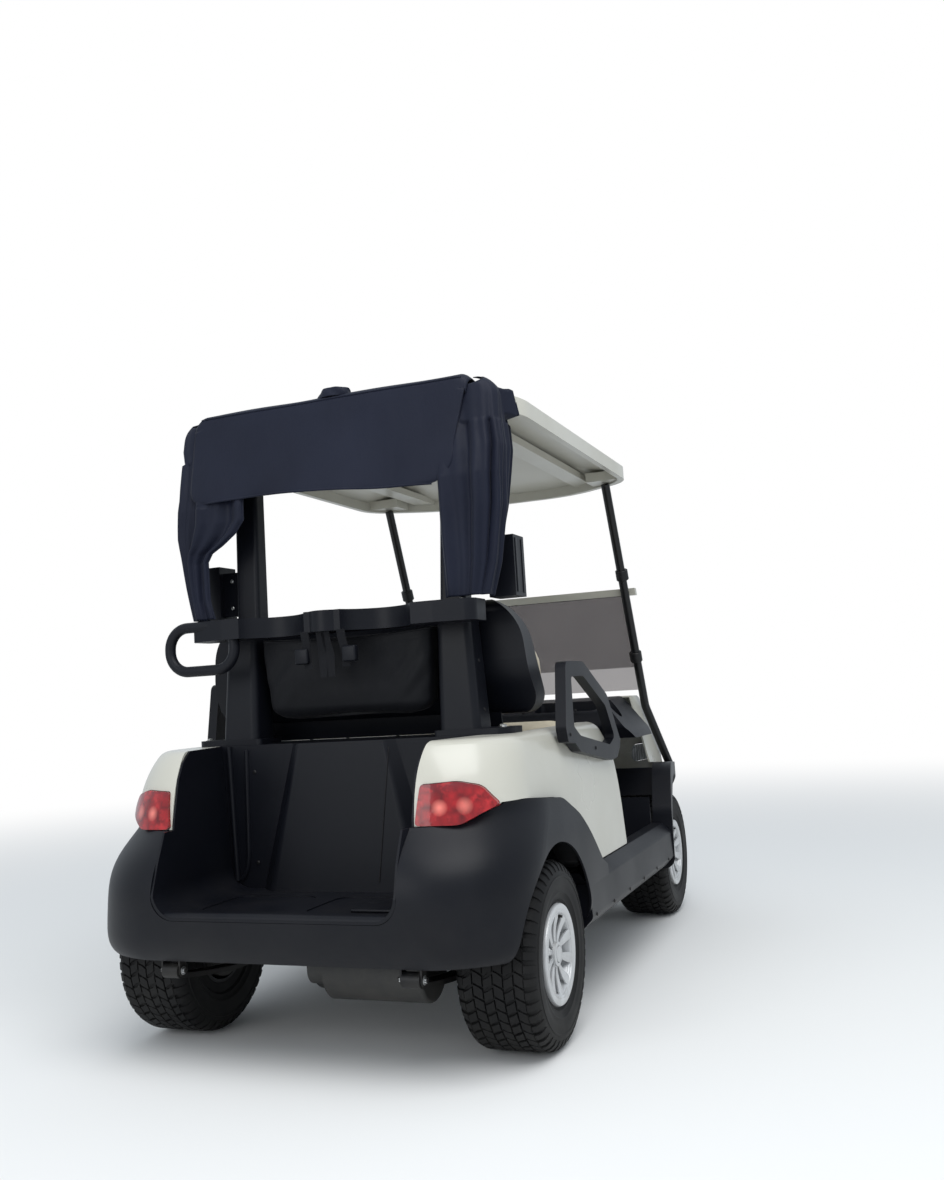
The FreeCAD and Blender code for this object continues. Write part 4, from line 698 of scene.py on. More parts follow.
def wheel_metal(name, cover_from):
    """Dark pressed steel inside, silver from the cover outwards."""
    material, tree, shader = surface(name, metallic=0.25, coat=0.2)
    sideways = math_in(tree, "ABSOLUTE", axes_of(tree, object_place(tree))["X"])
    outside = math_in(tree, "GREATER_THAN", sideways, cover_from)
    grain = effect_in(tree, moulded_grain, Grain_Scale=900, Drift_Scale=5.0)
    silver = blended(tree, grain["Drift"], (0.46, 0.47, 0.48, 1), (0.56, 0.57, 0.58, 1))
    dressed(
        tree, shader, blended(tree, outside, (0.016, 0.016, 0.017, 1), silver),
        remapped(tree, grain["Drift"], 0.3, 0.7, 0.34, 0.46), bump_in(tree, grain["Grain"], 0.00005))
    return material


front_x, rear_x, front_axle_y, dish_face = 0.438, 0.489, -0.874, 0.0595
front_wheel_metal = wheel_metal("front_wheel_metal", front_x + dish_face)
rear_wheel_metal = wheel_metal("rear_wheel_metal", rear_x + dish_face)
for corner, way, wheel_x, wheel_y, metal in (
        ("front_left", 1, front_x, front_axle_y, front_wheel_metal),
        ("front_right", -1, front_x, front_axle_y, front_wheel_metal),
        ("rear_left", 1, rear_x, rear_axle_y, rear_wheel_metal),
        ("rear_right", -1, rear_x, rear_axle_y, rear_wheel_metal)):
    finished(["rim_" + corner], metal)
    to_place = Matrix.Translation((way * wheel_x, wheel_y, axle_height))
    if way < 0:
        to_place = to_place @ Matrix.Rotation(math.pi, 4, "Z")
    for part, mesh, finish in (
            ("tyre", tyre_mesh, tyre_rubber), ("cover", cover_mesh, wheel_silver), ("nuts", nuts_mesh, zinc_plate),
            ("valve", valve_stem, black_steel)):
        own = mesh.copy()
        own.transform(to_place)
        piece = riding("wheel_%s_%s" % (part, corner), own, finish, "wheel_" + corner)
        if part == "tyre":
            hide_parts("tyre_" + corner)


# Floor and sills
# A moulded floor pan with a ribbed rubber mat, between black sill covers that screw up from below.
# The mat carries most of the dust that shoes bring in.
# Near-black is the moulding's own colour; the blue cast in its colours is a painted reflection of the sky.
black_moulding = moulded_or_painted(
    "black_moulding", (0.0040, 0.0046, 0.0074, 1), (0.0056, 0.0064, 0.0098, 1), 0.40, 650, 0.00010,
    dust=0.025, clean_height=0.52, specular=0.20)
rubber_mat = moulded_or_painted(
    "rubber_mat", (0.020, 0.020, 0.020, 1), (0.030, 0.030, 0.029, 1), 0.68, 420, 0.0004,
    dust=0.45, clean_height=0.6)
finished(["floor_pan", "sills"], black_moulding)
finished(["floor_mat"], rubber_mat)
screwed("sill_screws", [((0.5935, -0.48 + 0.19 * step, 0.262), (1, 0, 0)) for step in range(6)])


# Rear body
# The black bumper wraps both wheel arches; cream side panels sit in it and close over the arches.
# The tub between them takes the bags, and its lip and beads are moulded in one with it.
cream_gelcoat = moulded_or_painted(
    "cream_gelcoat", (0.540, 0.530, 0.468, 1), (0.505, 0.494, 0.430, 1), 0.30, 420, 0.00002,
    dust=0.10, clean_height=0.50, coat=0.35, specular=0.45)
finished(["rear_body", "bag_well"], black_moulding)
finished(["quarter_panels"], cream_gelcoat)
screwed("tub_screws", [((0.285, 0.7762, z), (0, 1, 0)) for z in (0.45, 0.70)])
screwed("deck_screws", [((x, 0.600, 0.775), (0, 0, 1)) for x in (0.08, 0.20)])
along_path(
    "tub_groove", [(-0.111 - 0.037 * at / 12, 0.8221 - 0.0208 * at / 12, 0.405 + 0.351 * at / 12) for at in range(13)],
    0.0013, black_steel)
for side_name, way in (("left", 1), ("right", -1)):
    along_path("tub_bead_" + side_name, [
        (way * x, 0.7768, z) for x, z in [(0.309 + 0.0004 * step, 0.762 - 0.030 * step) for step in range(10)]
        + [(0.314, 0.462), (0.319, 0.436), (0.327, 0.416), (0.338, 0.404)]], 0.0070, black_moulding)


# Tail lights
# One red acrylic lens wraps each rear corner, moulded with fluting inside and set into the cream panel.
# The light the fluting catches is painted into the lens colour as soft paler stripes, and a painted highlight makes a
# paler patch in front of each bulb.
red_lens, lens_tree, lens_shader = surface("red_lens", coat=0.45, coat_roughness=0.03, specular=0.4)
lens_place = object_place(lens_tree)
lens_facets = lens_tree.nodes.new("ShaderNodeTexVoronoi")
lens_facets.distance = "CHEBYCHEV"
lens_facets.inputs["Scale"].default_value = 42
lens_tree.links.new(lens_place, lens_facets.inputs["Vector"])
lens_highlight_streaks = noise_in(lens_tree, lens_place, 26, 3.0, 0.6)
lens_base = blended(
    lens_tree, remapped(lens_tree, lens_facets.outputs["Distance"], 0.1, 0.75),
    (0.34, 0.006, 0.010, 1), (0.12, 0.0015, 0.004, 1))
lens_top = remapped(lens_tree, axes_of(lens_tree, lens_place)["Z"], 0.655, 0.676)
lens_base = blended(lens_tree, lens_top, lens_base, (0.16, 0.008, 0.014, 1))
# Soft paler stripes: painted highlights where the fluting catches the light.
lens_base = blended(lens_tree, remapped(lens_tree, lens_highlight_streaks, 0.54, 0.70), lens_base, (0.46, 0.016, 0.020, 1))
# A paler patch in front of each bulb: a painted highlight in the lens colour.
for bulb_y, highlight_reach in ((1.045, 0.012), (1.075, 0.009)):
    away = lens_tree.nodes.new("ShaderNodeVectorMath")
    away.operation = "DISTANCE"
    folded = lens_tree.nodes.new("ShaderNodeVectorMath")
    folded.operation = "ABSOLUTE"
    lens_tree.links.new(lens_place, folded.inputs[0])
    lens_tree.links.new(folded.outputs[0], away.inputs[0])
    away.inputs[1].default_value = (0.455 if bulb_y < 1.05 else 0.405, bulb_y, 0.622)
    lens_base = blended(
        lens_tree, remapped(lens_tree, away.outputs["Value"], highlight_reach + 0.012, highlight_reach * 0.4),
        lens_base, (0.78, 0.20, 0.16, 1))
dressed(
    lens_tree, lens_shader, lens_base, remapped(lens_tree, lens_highlight_streaks, 0.3, 0.7, 0.12, 0.26),
    bump_in(lens_tree, lens_facets.outputs["Distance"], 0.0012, 0.6))
finished(["tail_lights"], red_lens)


# Seat pod and battery
# A moulded pod carries the seat over the battery tray; the batteries are six plain black cases.
# The board under the seat and the shell behind its back are black mouldings like the pod.
finished(["seat_pod", "seat_bottom_base", "seat_back_shell"], black_moulding)
battery_case = moulded_or_painted(
    "battery_case", (0.030, 0.030, 0.032, 1), (0.045, 0.044, 0.043, 1), 0.55, 500, 0.0002, dust=0.4, clean_height=0.7)
finished(["battery_pack"], battery_case)


# Seat cushions
# Foam under cream vinyl with an embossed grain; the back's face and sides are one cover with a welt.
# Each is swollen from its own foam block by air pressure under the cloth, its move capped and held near the
# block's box; the welt is laid round the edge that meets the moulded base or shell afterwards.


def make_stretch_wrinkles():
    """Soft puckers across a surface, as vinyl or cloth has near its seams."""
    group, given, result = effect_group(
        "stretch_wrinkles", [("Scale", 14.0), ("Stretch", 4.0)], [("Height", "NodeSocketFloat")])
    parts = axes_of(group, object_place(group))
    pulled = group.nodes.new("ShaderNodeCombineXYZ")
    wired(
        group, (math_in(group, "MULTIPLY", parts["X"], given.outputs["Stretch"]), pulled.inputs["X"]),
        (parts["Y"], pulled.inputs["Y"]), (parts["Z"], pulled.inputs["Z"]),
        (noise_in(group, pulled.outputs[0], given.outputs["Scale"], 4.0, 0.55), result.inputs["Height"]))
    return group


stretch_wrinkles = make_stretch_wrinkles()
cream_vinyl, vinyl_tree, vinyl_shader = surface("cream_vinyl", specular=0.35)
vinyl_grain = effect_in(vinyl_tree, moulded_grain, Grain_Scale=820, Drift_Scale=5.0)
vinyl_folds = effect_in(vinyl_tree, stretch_wrinkles, Scale=9.0, Stretch=2.4)["Height"]
dressed(
    vinyl_tree, vinyl_shader,
    blended(vinyl_tree, remapped(vinyl_tree, vinyl_grain["Drift"], 0.34, 0.66),
            (0.585, 0.520, 0.390, 1), (0.520, 0.455, 0.335, 1)),
    remapped(vinyl_tree, vinyl_folds, 0.3, 0.7, 0.42, 0.56),
    bump_in(vinyl_tree, vinyl_grain["Grain"], 0.00018, over=bump_in(vinyl_tree, vinyl_folds, 0.0022)))


def merged_copy(node):
    """A closed copy of a CAD node's mesh."""
    work = bmesh.new()
    work.from_mesh(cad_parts[node].data)
    bmesh.ops.remove_doubles(work, verts=work.verts, dist=0.00002)
    bmesh.ops.recalc_face_normals(work, faces=work.faces)
    mesh = bpy.data.meshes.new(node + "_copy")
    work.to_mesh(mesh)
    work.free()
    return mesh


skin_step, air_pressure, blow_frames = 0.010, 4, 20


def cushion(name, node, body, shrink, move_cap, keep_flat):
    """Foam swollen under its cover: remeshed, blown up by cloth, its move capped, then smoothed."""
    mesh = merged_copy(node)
    low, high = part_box(node)
    middle = (low + high) / 2
    for vert in mesh.vertices:
        vert.co = Vector(tuple(
            centre + (at - centre) * (1 - 2 * shrink / max(top - bottom, 0.01))
            for at, centre, bottom, top in zip(vert.co, middle, low, high)))
    pad = linked(name, mesh)
    remesh = pad.modifiers.new("even_skin", "REMESH")
    remesh.mode = "VOXEL"
    remesh.voxel_size = skin_step
    bpy.context.view_layer.update()
    skin = bpy.data.meshes.new_from_object(pad.evaluated_get(bpy.context.evaluated_depsgraph_get()))
    pad.modifiers.clear()
    pad.data = skin
    start = [vert.co.copy() for vert in skin.vertices]
    cloth = pad.modifiers.new("cover", "CLOTH")
    cloth.settings.use_pressure = True
    cloth.settings.uniform_pressure_force = air_pressure
    cloth.settings.effector_weights.gravity = 0
    cloth.point_cache.frame_end = blow_frames
    for step in range(1, blow_frames + 1):
        bpy.context.scene.frame_set(step)
    blown = pad.evaluated_get(bpy.context.evaluated_depsgraph_get())
    swollen = [vert.co.copy() for vert in blown.data.vertices]
    pad.modifiers.clear()
    bpy.context.scene.frame_set(1)
    for vert, before, after in zip(skin.vertices, start, swollen):
        move = after - before
        if move.length > move_cap:
            move *= move_cap / move.length
        place = before + move
        vert.co = keep_flat(place, low, high)
    for polygon in skin.polygons:
        polygon.use_smooth = True
    smoother = pad.modifiers.new("smooth", "SUBSURF")
    smoother.levels = smoother.render_levels = 1
    skin.materials.clear()
    skin.materials.append(cream_vinyl)
    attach(pad, body)
    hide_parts(node)
    return pad


def on_its_base(place, low, high):
    """Rests on the base below and stays in the space the foam has."""
    return Vector((
        min(max(place.x, low.x - 0.004), high.x + 0.004), min(max(place.y, low.y - 0.004), high.y - 0.001),
        min(max(place.z, low.z), high.z + 0.006)))


def shell_face(z):
    """Y of the seat back shell's front face at a height."""
    return 0.5120 + (z - 0.826) * 0.3114


def against_its_shell(place, low, high):
    """Stays in front of the moulded shell behind it."""
    return Vector((
        min(max(place.x, low.x - 0.003), high.x + 0.003), min(place.y, shell_face(place.z)),
        min(max(place.z, low.z - 0.004), high.z + 0.006)))


welt_radius, welt_lift, welt_turn, edge_band = 0.0055, 0.006, math.radians(2.5), 0.012


def sewn_welt(name, pad, body, on_edge, axes, lift):
    """A welt round a cushion, through the outermost point of its edge at each angle about its middle."""
    edge = [vert.co for vert in pad.data.vertices if on_edge(vert.co)]
    across, up = axes
    middle = [(min(place[axis] for place in edge) + max(place[axis] for place in edge)) / 2 for axis in axes]
    outermost = {}
    for place in edge:
        reach = (place[across] - middle[0], place[up] - middle[1])
        turn = round(math.atan2(reach[1], reach[0]) / welt_turn) % round(2 * math.pi / welt_turn)
        if turn not in outermost or math.hypot(*reach) > outermost[turn][0]:
            outermost[turn] = (math.hypot(*reach), place + Vector(lift))
    path = [outermost[turn][1] for turn in sorted(outermost)]
    for _ in range(2):
        path = [(path[at - 1] + path[at] * 2 + path[(at + 1) % len(path)]) / 4 for at in range(len(path))]
    return along_path(name, path, welt_radius, cream_vinyl, body, closed=True)


bottom_cushion = cushion("bottom_cushion", "seat_bottom_cushion", "seat_lid", 0.008, 0.016, on_its_base)
back_cushion = cushion("back_cushion", "seat_back_cushion", "cart", 0.008, 0.016, against_its_shell)
lid_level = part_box("seat_bottom_cushion")[0].z
sewn_welt(
    "bottom_welt", bottom_cushion, "seat_lid", lambda place: place.z < lid_level + edge_band, (0, 1), (0, 0, welt_lift))
sewn_welt(
    "back_welt", back_cushion, "cart",
    lambda place: place.y > shell_face(place.z) - edge_band, (0, 2), (0, -welt_lift, 0))


# Arm loops, uprights and front tubes
# The arm loops are one moulded bar each. Deep moulded columns bolt to the deck and carry the rack, then
# slim to the roof; at the front two bent steel tubes, painted black, run from the cowl to the roof.
strut_steel = moulded_or_painted(
    "strut_steel", (0.0040, 0.0042, 0.0052, 1), (0.0065, 0.0066, 0.0075, 1), 0.32, 1100, 0.00005,
    coat=0.1, specular=0.3)
finished(["hip_restraints", "rear_struts"], black_moulding)
finished(["front_struts"], strut_steel)
fixed_at(
    "flange_bolts", hex_bolt,
    mirrored_places([((x, y, 0.7913), (0, 0, 1)) for x, y in ((0.425, 0.672), (0.455, 0.740))]), zinc_plate)
screwed("column_screws", [((0.3955 - 0.020 * (z - 0.775) / 0.345, 0.712, z), (1, 0, 0.058)) for z in (0.84, 0.97)])
screwed("hip_screws", [((0.5752, y, z), (1, 0, 0)) for y, z in ((0.300, 0.704), (0.545, 0.756))])


# Roof
# One vacuum-formed cream shell with a turned-down edge; the underside has two long stiffening channels.
# It is bolted down on a pad over each upright and front tube.
roof_cream = moulded_or_painted(
    "roof_cream", (0.540, 0.528, 0.465, 1), (0.500, 0.485, 0.420, 1), 0.36, 420, 0.00004, coat=0.25, specular=0.4)
finished(["roof"], roof_cream)


# Windshield
# Two sheets of smoked acrylic; the upper one is folded down in front of the lower one on a cream hinge strip.
# Rubber clips hold them to the front tubes, and the hinge screws show along the strip.
smoked_acrylic, smoke_tree, smoke_shader = surface("smoked_acrylic", specular=0.5)
smoke_shader.inputs["Transmission Weight"].default_value = 0.95
smoke_shader.inputs["IOR"].default_value = 1.12
smoke_haze = noise_in(smoke_tree, object_place(smoke_tree), 6.0, 4.0)
smoke_tree.links.new(
    blended(smoke_tree, smoke_haze, (0.33, 0.32, 0.325, 1), (0.38, 0.37, 0.37, 1)), smoke_shader.inputs["Base Color"])
smoke_tree.links.new(remapped(smoke_tree, smoke_haze, 0.3, 0.7, 0.03, 0.09), smoke_shader.inputs["Roughness"])
finished(["windshield_glass"], smoked_acrylic)
finished(["windshield_strip"], roof_cream)


tube_foot_y, tube_foot_z, tube_top_y, tube_top_z = -0.889, 0.795, -0.531, 1.636


def tube_y(z):
    """Y of the front tubes' centre at a height above their bend."""
    return tube_foot_y + (z - tube_foot_z) / (tube_top_z - tube_foot_z) * (tube_top_y - tube_foot_y)


glass_face, strip_z = (0.0, -0.9198, 0.3924), 1.237
fixed_at(
    "strip_screws", pan_screw,
    [((-0.42 + 0.14 * step, tube_y(strip_z) - 0.0425, strip_z), glass_face) for step in range(7)], zinc_plate)
clip_grip = turned("clip_grip", [(-0.020, 0.0215), (-0.018, 0.0235), (0.018, 0.0235), (0.020, 0.0215)], 20)
along_tube = (0.0, 0.3917, 0.9201)
fixed_at(
    "glass_clips", clip_grip,
    [(place, along_tube) for z in (0.99, 1.30) for place in both((0.4515, tube_y(z), z))], black_steel)


# Front body
# The black nose and front arches come in one moulding, with the cream cowl clipped over it.
# A clear fluted lamp is let into the cowl each side. Hardly any of it shows in the photo; it follows the type.


def wave_in(tree, scale, direction="X"):
    """Straight bands across a piece."""
    wave = node_in(tree, "ShaderNodeTexWave", Scale=scale)
    wave.bands_direction = direction
    tree.links.new(object_place(tree), wave.inputs["Vector"])
    return wave.outputs["Fac"]


clear_lens, clear_tree, clear_shader = surface("clear_lens", coat=0.8, coat_roughness=0.03)
clear_flutes = wave_in(clear_tree, 28)
dressed(
    clear_tree, clear_shader, blended(clear_tree, clear_flutes, (0.34, 0.35, 0.36, 1), (0.58, 0.60, 0.62, 1)),
    remapped(clear_tree, clear_flutes, 0, 1, 0.10, 0.22), bump_in(clear_tree, clear_flutes, 0.0010))
finished(["front_bumper"], black_moulding)
finished(["front_cowl"], cream_gelcoat)
finished(["headlights"], clear_lens)


# Dash, steering column, wheel and pedals
# A textured black dash with cup wells is moulded in one and screwed to the cowl from the seat side.
# The tilted column carries a wheel of steel under moulded foam; two ribbed rubber pads cover the pedals.
wheel_foam = moulded_or_painted(
    "wheel_foam", (0.010, 0.010, 0.0105, 1), (0.015, 0.015, 0.0155, 1), 0.58, 1500, 0.00012, specular=0.35)
finished(["dash", "steering_column"], black_moulding)
finished(["steering_wheel"], wheel_foam)
finished(["pedals"], rubber_mat)
screwed("dash_screws", [((x, -0.4398, 0.80), (0, 1, 0)) for x in (0.10, 0.30)])


# Bag rack
# A thick moulded rail bolted between the rear columns, with two round bays for the bags and a hanging loop.
# Webbing straps with cam buckles hang from it to hold the bags.
finished(["bag_rack"], black_moulding)
webbing, web_tree, web_shader = surface("webbing", sheen=0.05, specular=0.18)
web_weave = wave_in(web_tree, 260, "DIAGONAL")
dressed(
    web_tree, web_shader, blended(web_tree, web_weave, (0.0035, 0.0040, 0.0058, 1), (0.0095, 0.0100, 0.0130, 1)),
    remapped(web_tree, web_weave, 0, 1, 0.62, 0.8), bump_in(web_tree, web_weave, 0.0004))


def strap(name, points, width, thickness=0.0024, across=(1, 0, 0)):
    """Flat webbing along points, its width lying along one direction."""
    side = Vector(across).normalized() * width / 2
    verts, faces = [], []
    for at, point in enumerate(points):
        before = Vector(points[max(at - 1, 0)])
        after = Vector(points[min(at + 1, len(points) - 1)])
        out = side.cross(after - before).normalized() * thickness / 2
        centre = Vector(point)
        verts += [centre - side - out, centre + side - out, centre + side + out, centre - side + out]
    for at in range(len(points) - 1):
        for corner in range(4):
            here, on = 4 * at, 4 * at + 4
            turn = (corner + 1) % 4
            faces.append((here + corner, here + turn, on + turn, on + corner))
    faces += [(0, 1, 2, 3), tuple(range(len(verts) - 4, len(verts)))]
    return riding(name, shaded(mesh_of(name, verts, faces)), webbing)


def smooth_at(points, share):
    """A place, from 0 to 1, on the smooth line through the points."""
    at = share * (len(points) - 1)
    step = min(int(at), len(points) - 2)
    t = at - step
    p0, p1 = points[max(step - 1, 0)], points[step]
    p2, p3 = points[step + 1], points[min(step + 2, len(points) - 1)]
    return tuple(0.5 * (
        2 * b + (c - a) * t + (2 * a - 5 * b + 4 * c - d) * t * t + (3 * b - a - 3 * c + d) * t ** 3)
        for a, b, c, d in zip(p0, p1, p2, p3))


def eased(points, steps=8):
    """Even steps along the smooth line through the points."""
    count = steps * (len(points) - 1)
    return [smooth_at(points, at / count) for at in range(count + 1)]


def sitting_block(name, low, high, bevel, finish):
    """A small moulded part with eased edges."""
    work = bmesh.new()
    bmesh.ops.create_cube(work, size=1)
    for vert in work.verts:
        vert.co = Vector(tuple(a + (b - a) * (c + 0.5) for a, b, c in zip(low, high, vert.co)))
    bmesh.ops.bevel(work, geom=work.edges[:], offset=bevel, segments=3, profile=0.5, affect="EDGES")
    mesh = bpy.data.meshes.new(name)
    work.to_mesh(mesh)
    work.free()
    return riding(name, shaded(mesh), finish)


for side_name, way in (("left", 1), ("right", -1)):
    for hang, reach in ((0.035, 0.975), (-0.012, 0.950)):
        strap("hanging_strap_%s_%d" % (side_name, round(hang * 1000) + 20), eased([
            (way * 0.020 + hang * way, 0.866, 1.074), (way * 0.020 + hang * way, 0.858, 1.045),
            (way * 0.024 + hang * way, 0.848, 1.010), (way * 0.022 + hang * way, 0.844, reach)]), 0.024)
    sitting_block(
        "cam_buckle_" + side_name, (min(way * 0.052, way * 0.092), 0.838, 0.988),
        (max(way * 0.052, way * 0.092), 0.860, 1.030), 0.005, black_moulding)
sitting_block("pocket_pad", (-0.262, 0.915, 0.3772), (-0.152, 1.066, 0.3850), 0.0035, black_moulding)

# The skirt closes the gap between the seat back's lower edge and the deck behind it.
skirt_columns, skirt_pitch, skirt_wall = 29, 0.028, 0.0040
skirt_line = [(0.5835, 0.8290), (0.5800, 0.8120), (0.5740, 0.7930), (0.5690, 0.7765)]
skirt_verts = [(-0.392 + skirt_pitch * step, y + back, z) for back in (0.0, skirt_wall) for y, z in skirt_line
               for step in range(skirt_columns)]
each_face, last_row = len(skirt_verts) // 2, skirt_columns * (len(skirt_line) - 1)
skirt_faces = [(at, at + 1, at + 1 + skirt_columns, at + skirt_columns) for back in (0, each_face)
               for row in range(back, back + last_row, skirt_columns) for at in range(row, row + skirt_columns - 1)]
for start, step, count in ((0, 1, skirt_columns - 1), (last_row, 1, skirt_columns - 1), (0, skirt_columns, 3),
                           (skirt_columns - 1, skirt_columns, 3)):
    skirt_faces += [(at, at + step, at + step + each_face, at + each_face)
                    for at in range(start, start + step * count, step)]
riding("seat_back_skirt", shaded(mesh_of("seat_back_skirt", skirt_verts, skirt_faces)), black_moulding)
fixed_at(
    "rack_bolts", hex_bolt,
    mirrored_places([((x, 0.785, 1.1282), (0, 0, 1)) for x in (0.315, 0.375)]), zinc_plate)


# Basket
# A basket of coated cloth hangs behind the seat back; its mouth is hemmed over a wire and its front sags.
# A band is sewn round it below the hem. The cloth is drawn by a function here and isn't simulated.


def coated_cloth(name, colour, drift_colour, roughness):
    """Tightly woven cloth with a dull coating, slack enough to pucker."""
    material, tree, shader = surface(name, sheen=0.03, specular=0.16)
    grain = effect_in(tree, moulded_grain, Grain_Scale=1500, Drift_Scale=4.0)
    puckers = effect_in(tree, stretch_wrinkles, Scale=5.0, Stretch=2.2)["Height"]
    dressed(
        tree, shader, blended(tree, remapped(tree, grain["Drift"], 0.3, 0.7), colour, drift_colour),
        remapped(tree, puckers, 0.3, 0.7, roughness - 0.06, roughness + 0.10),
        bump_in(tree, grain["Grain"], 0.00015, over=bump_in(tree, puckers, 0.004)))
    return material


basket_cloth = coated_cloth("basket_cloth", (0.0032, 0.0036, 0.0052, 1), (0.0055, 0.0060, 0.0082, 1), 0.50)
navy_cloth = coated_cloth("navy_cloth", (0.0058, 0.0078, 0.0180, 1), (0.0082, 0.0108, 0.0235, 1), 0.52)


def cloth_grid(name, rows, columns, place_of, thickness, finish, closed=False):
    """A cloth sheet from a function of (across, along), both 0 to 1; returns it with its area."""
    verts = [tuple(place_of(i / (columns if closed else columns - 1), j / (rows - 1)))
             for j in range(rows) for i in range(columns)]
    span = columns if closed else columns - 1
    faces = [(j * columns + i, j * columns + (i + 1) % columns, (j + 1) * columns + (i + 1) % columns,
              (j + 1) * columns + i) for j in range(rows - 1) for i in range(span)]
    mesh = mesh_of(name, verts, faces)
    area = sum(polygon.area for polygon in mesh.polygons)
    for polygon in mesh.polygons:
        polygon.use_smooth = True
    made = riding(name, mesh, finish)
    wall = made.modifiers.new("wall", "SOLIDIFY")
    wall.thickness = thickness
    wall.offset = 0
    return made, area


def closed_below(sheet, rows, columns):
    """Closes a cloth tube with one face over its last ring of points."""
    work = bmesh.new()
    work.from_mesh(sheet.data)
    work.verts.ensure_lookup_table()
    work.faces.new([work.verts[(rows - 1) * columns + at] for at in range(columns)])
    bmesh.ops.recalc_face_normals(work, faces=work.faces)
    work.to_mesh(sheet.data)
    work.free()


def basket_place(around, down):
    """A rounded-oblong mouth that narrows to a sagging bottom."""
    turn = 2 * math.pi * around
    squared = 0.22
    cosine, sine = math.cos(turn), math.sin(turn)
    across = math.copysign(abs(cosine) ** squared, cosine)
    deep = math.copysign(abs(sine) ** (squared + 0.30), sine)
    top_z, bottom_z = 1.068, 0.842
    belly = math.sin(math.pi * min(down * 1.08, 1))
    half_x = 0.262 - 0.020 * down ** 2
    half_y = 0.043 - 0.004 * down + 0.004 * belly
    middle_y = 0.7165 - 0.010 * down
    tuck = max(0.0, (down - 0.84) / 0.16)
    shrink = math.sqrt(max(1 - tuck ** 2, 0.0)) if tuck > 0 else 1
    half_x *= 0.72 + 0.28 * shrink
    half_y *= 0.12 + 0.88 * shrink
    sag = 0.016 * (1 - across ** 2) * (1 - down) * (1 if deep > 0 else 0.35)
    wave = 0.0030 * math.sin(9 * across - 7 * down) * math.sin(math.pi * down)
    slant = 0.0020 * math.sin(19 * down - 27 * across) * math.sin(math.pi * down) ** 2 * (1 if deep > 0 else 0)
    z = top_z - sag - (top_z - bottom_z) * down + 0.010 * tuck * (1 - abs(across))
    return Vector((across * half_x, middle_y + deep * half_y + wave + slant, z))


basket_rows, basket_columns = 44, 132
basket, basket_area = cloth_grid("basket", basket_rows, basket_columns, basket_place, 0.0028, basket_cloth, closed=True)
closed_below(basket, basket_rows, basket_columns)
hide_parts("bag_basket")
basket_hem = along_path(
    "basket_hem", [tuple(basket_place(at / 96, 0.004)) for at in range(96)], 0.0038, basket_cloth, closed=True)
basket_band = along_path(
    "basket_band", [tuple(basket_place(at / 96, 0.115)) for at in range(96)], 0.0016, webbing, closed=True)


# Bottle holders
# An open moulded box for a sand bottle is screwed to each rear post, through the post's rear face.
# Two raised bars run up its outer face.
finished(["bottle_holders"], black_moulding)
for way in (1, -1):
    for slot_y in (0.640, 0.688):
        strap_x = way * 0.5004
        sitting_block(
            "holder_bar_%s_%d" % ("left" if way > 0 else "right", round(slot_y * 1000)),
            (min(strap_x, strap_x + way * 0.0016), slot_y - 0.006, 1.146),
            (max(strap_x, strap_x + way * 0.0016), slot_y + 0.006, 1.292), 0.0007, black_moulding)
fixed_at(
    "holder_screws", pan_screw,
    mirrored_places([((0.392, 0.6905, z), (0, 1, 0)) for z in (1.175, 1.255)]), zinc_plate)


# Bag cover
# Navy coated cloth over the roof's rear edge: one piece from the roof over a hoop and down as a rear flap,
# with a curtain sewn on each side. The folds are drawn by functions, not simulated; a tied end stands at the middle.


def roof_top(x):
    """Height of the roof's surface near its rear edge."""
    return min(1.7085, 1.7285 - 0.0535 * (x / 0.536) ** 2)


cover_line = [
    (0.6925, 1.7120), (0.6960, 1.7285), (0.7150, 1.7375), (0.7400, 1.7405), (0.7620, 1.7385), (0.7790, 1.7260),
    (0.7870, 1.7000), (0.7960, 1.6500), (0.8080, 1.5850), (0.8200, 1.5200), (0.8300, 1.4560)]
flap_foot, crest_top, curtain_foot = 1.456, 1.7385, 1.136


def cover_place(across, along):
    """The cover and its rear flap, with rounded lower corners and slow folds."""
    side = 2 * across - 1
    y, z = smooth_at(cover_line, along)
    drop = min(max((1.735 - z) / 0.19, 0.0), 1.0)
    half = 0.428 - 0.040 * drop if side < 0 else 0.432 + 0.006 * drop
    corner = 0.078 if side < 0 else 0.048
    if along > 0.5 and z < flap_foot + corner:
        half -= corner - math.sqrt(max(corner ** 2 - (flap_foot + corner - z) ** 2, 0))
    x = side * half
    if along < 0.11:
        z = roof_top(x) + 0.003 + (z - 1.7120) * (1.7285 - roof_top(x) - 0.003) / 0.0165
    flap = min(max((along - 0.55) / 0.45, 0.0), 1.0)
    tight = max(0.0, 1 - abs(side) ** 6)
    y += flap * (0.0050 * math.sin(5.1 * side + 1.2) + 0.0026 * math.sin(11.3 * side + 4.0 * flap)) * tight
    y += 0.0045 * math.exp(-((side + 0.35 - 0.9 * flap) / 0.13) ** 2) * flap
    y -= 0.010 * flap * abs(side) ** 9
    z += 0.0100 * math.sin(2.2 * side + 0.5) * flap ** 3 + 0.007 * flap ** 3 * side
    edge = max(0.0, (abs(side) - 0.93) / 0.07)
    if 0.11 < along < 0.62:
        z -= 0.020 * edge ** 2
    crest = math.exp(-((along - 0.34) / 0.16) ** 2)
    z -= 0.0035 * crest * (0.5 + 0.5 * math.sin(7.0 * side + 0.6)) * (1 - edge)
    z += 0.0022 * crest * math.exp(-(side / 0.16) ** 2)
    return Vector((x, y, z))


cover, cover_area = cloth_grid("bag_cover_cloth", 96, 130, cover_place, 0.0026, navy_cloth)
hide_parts("bag_cover")


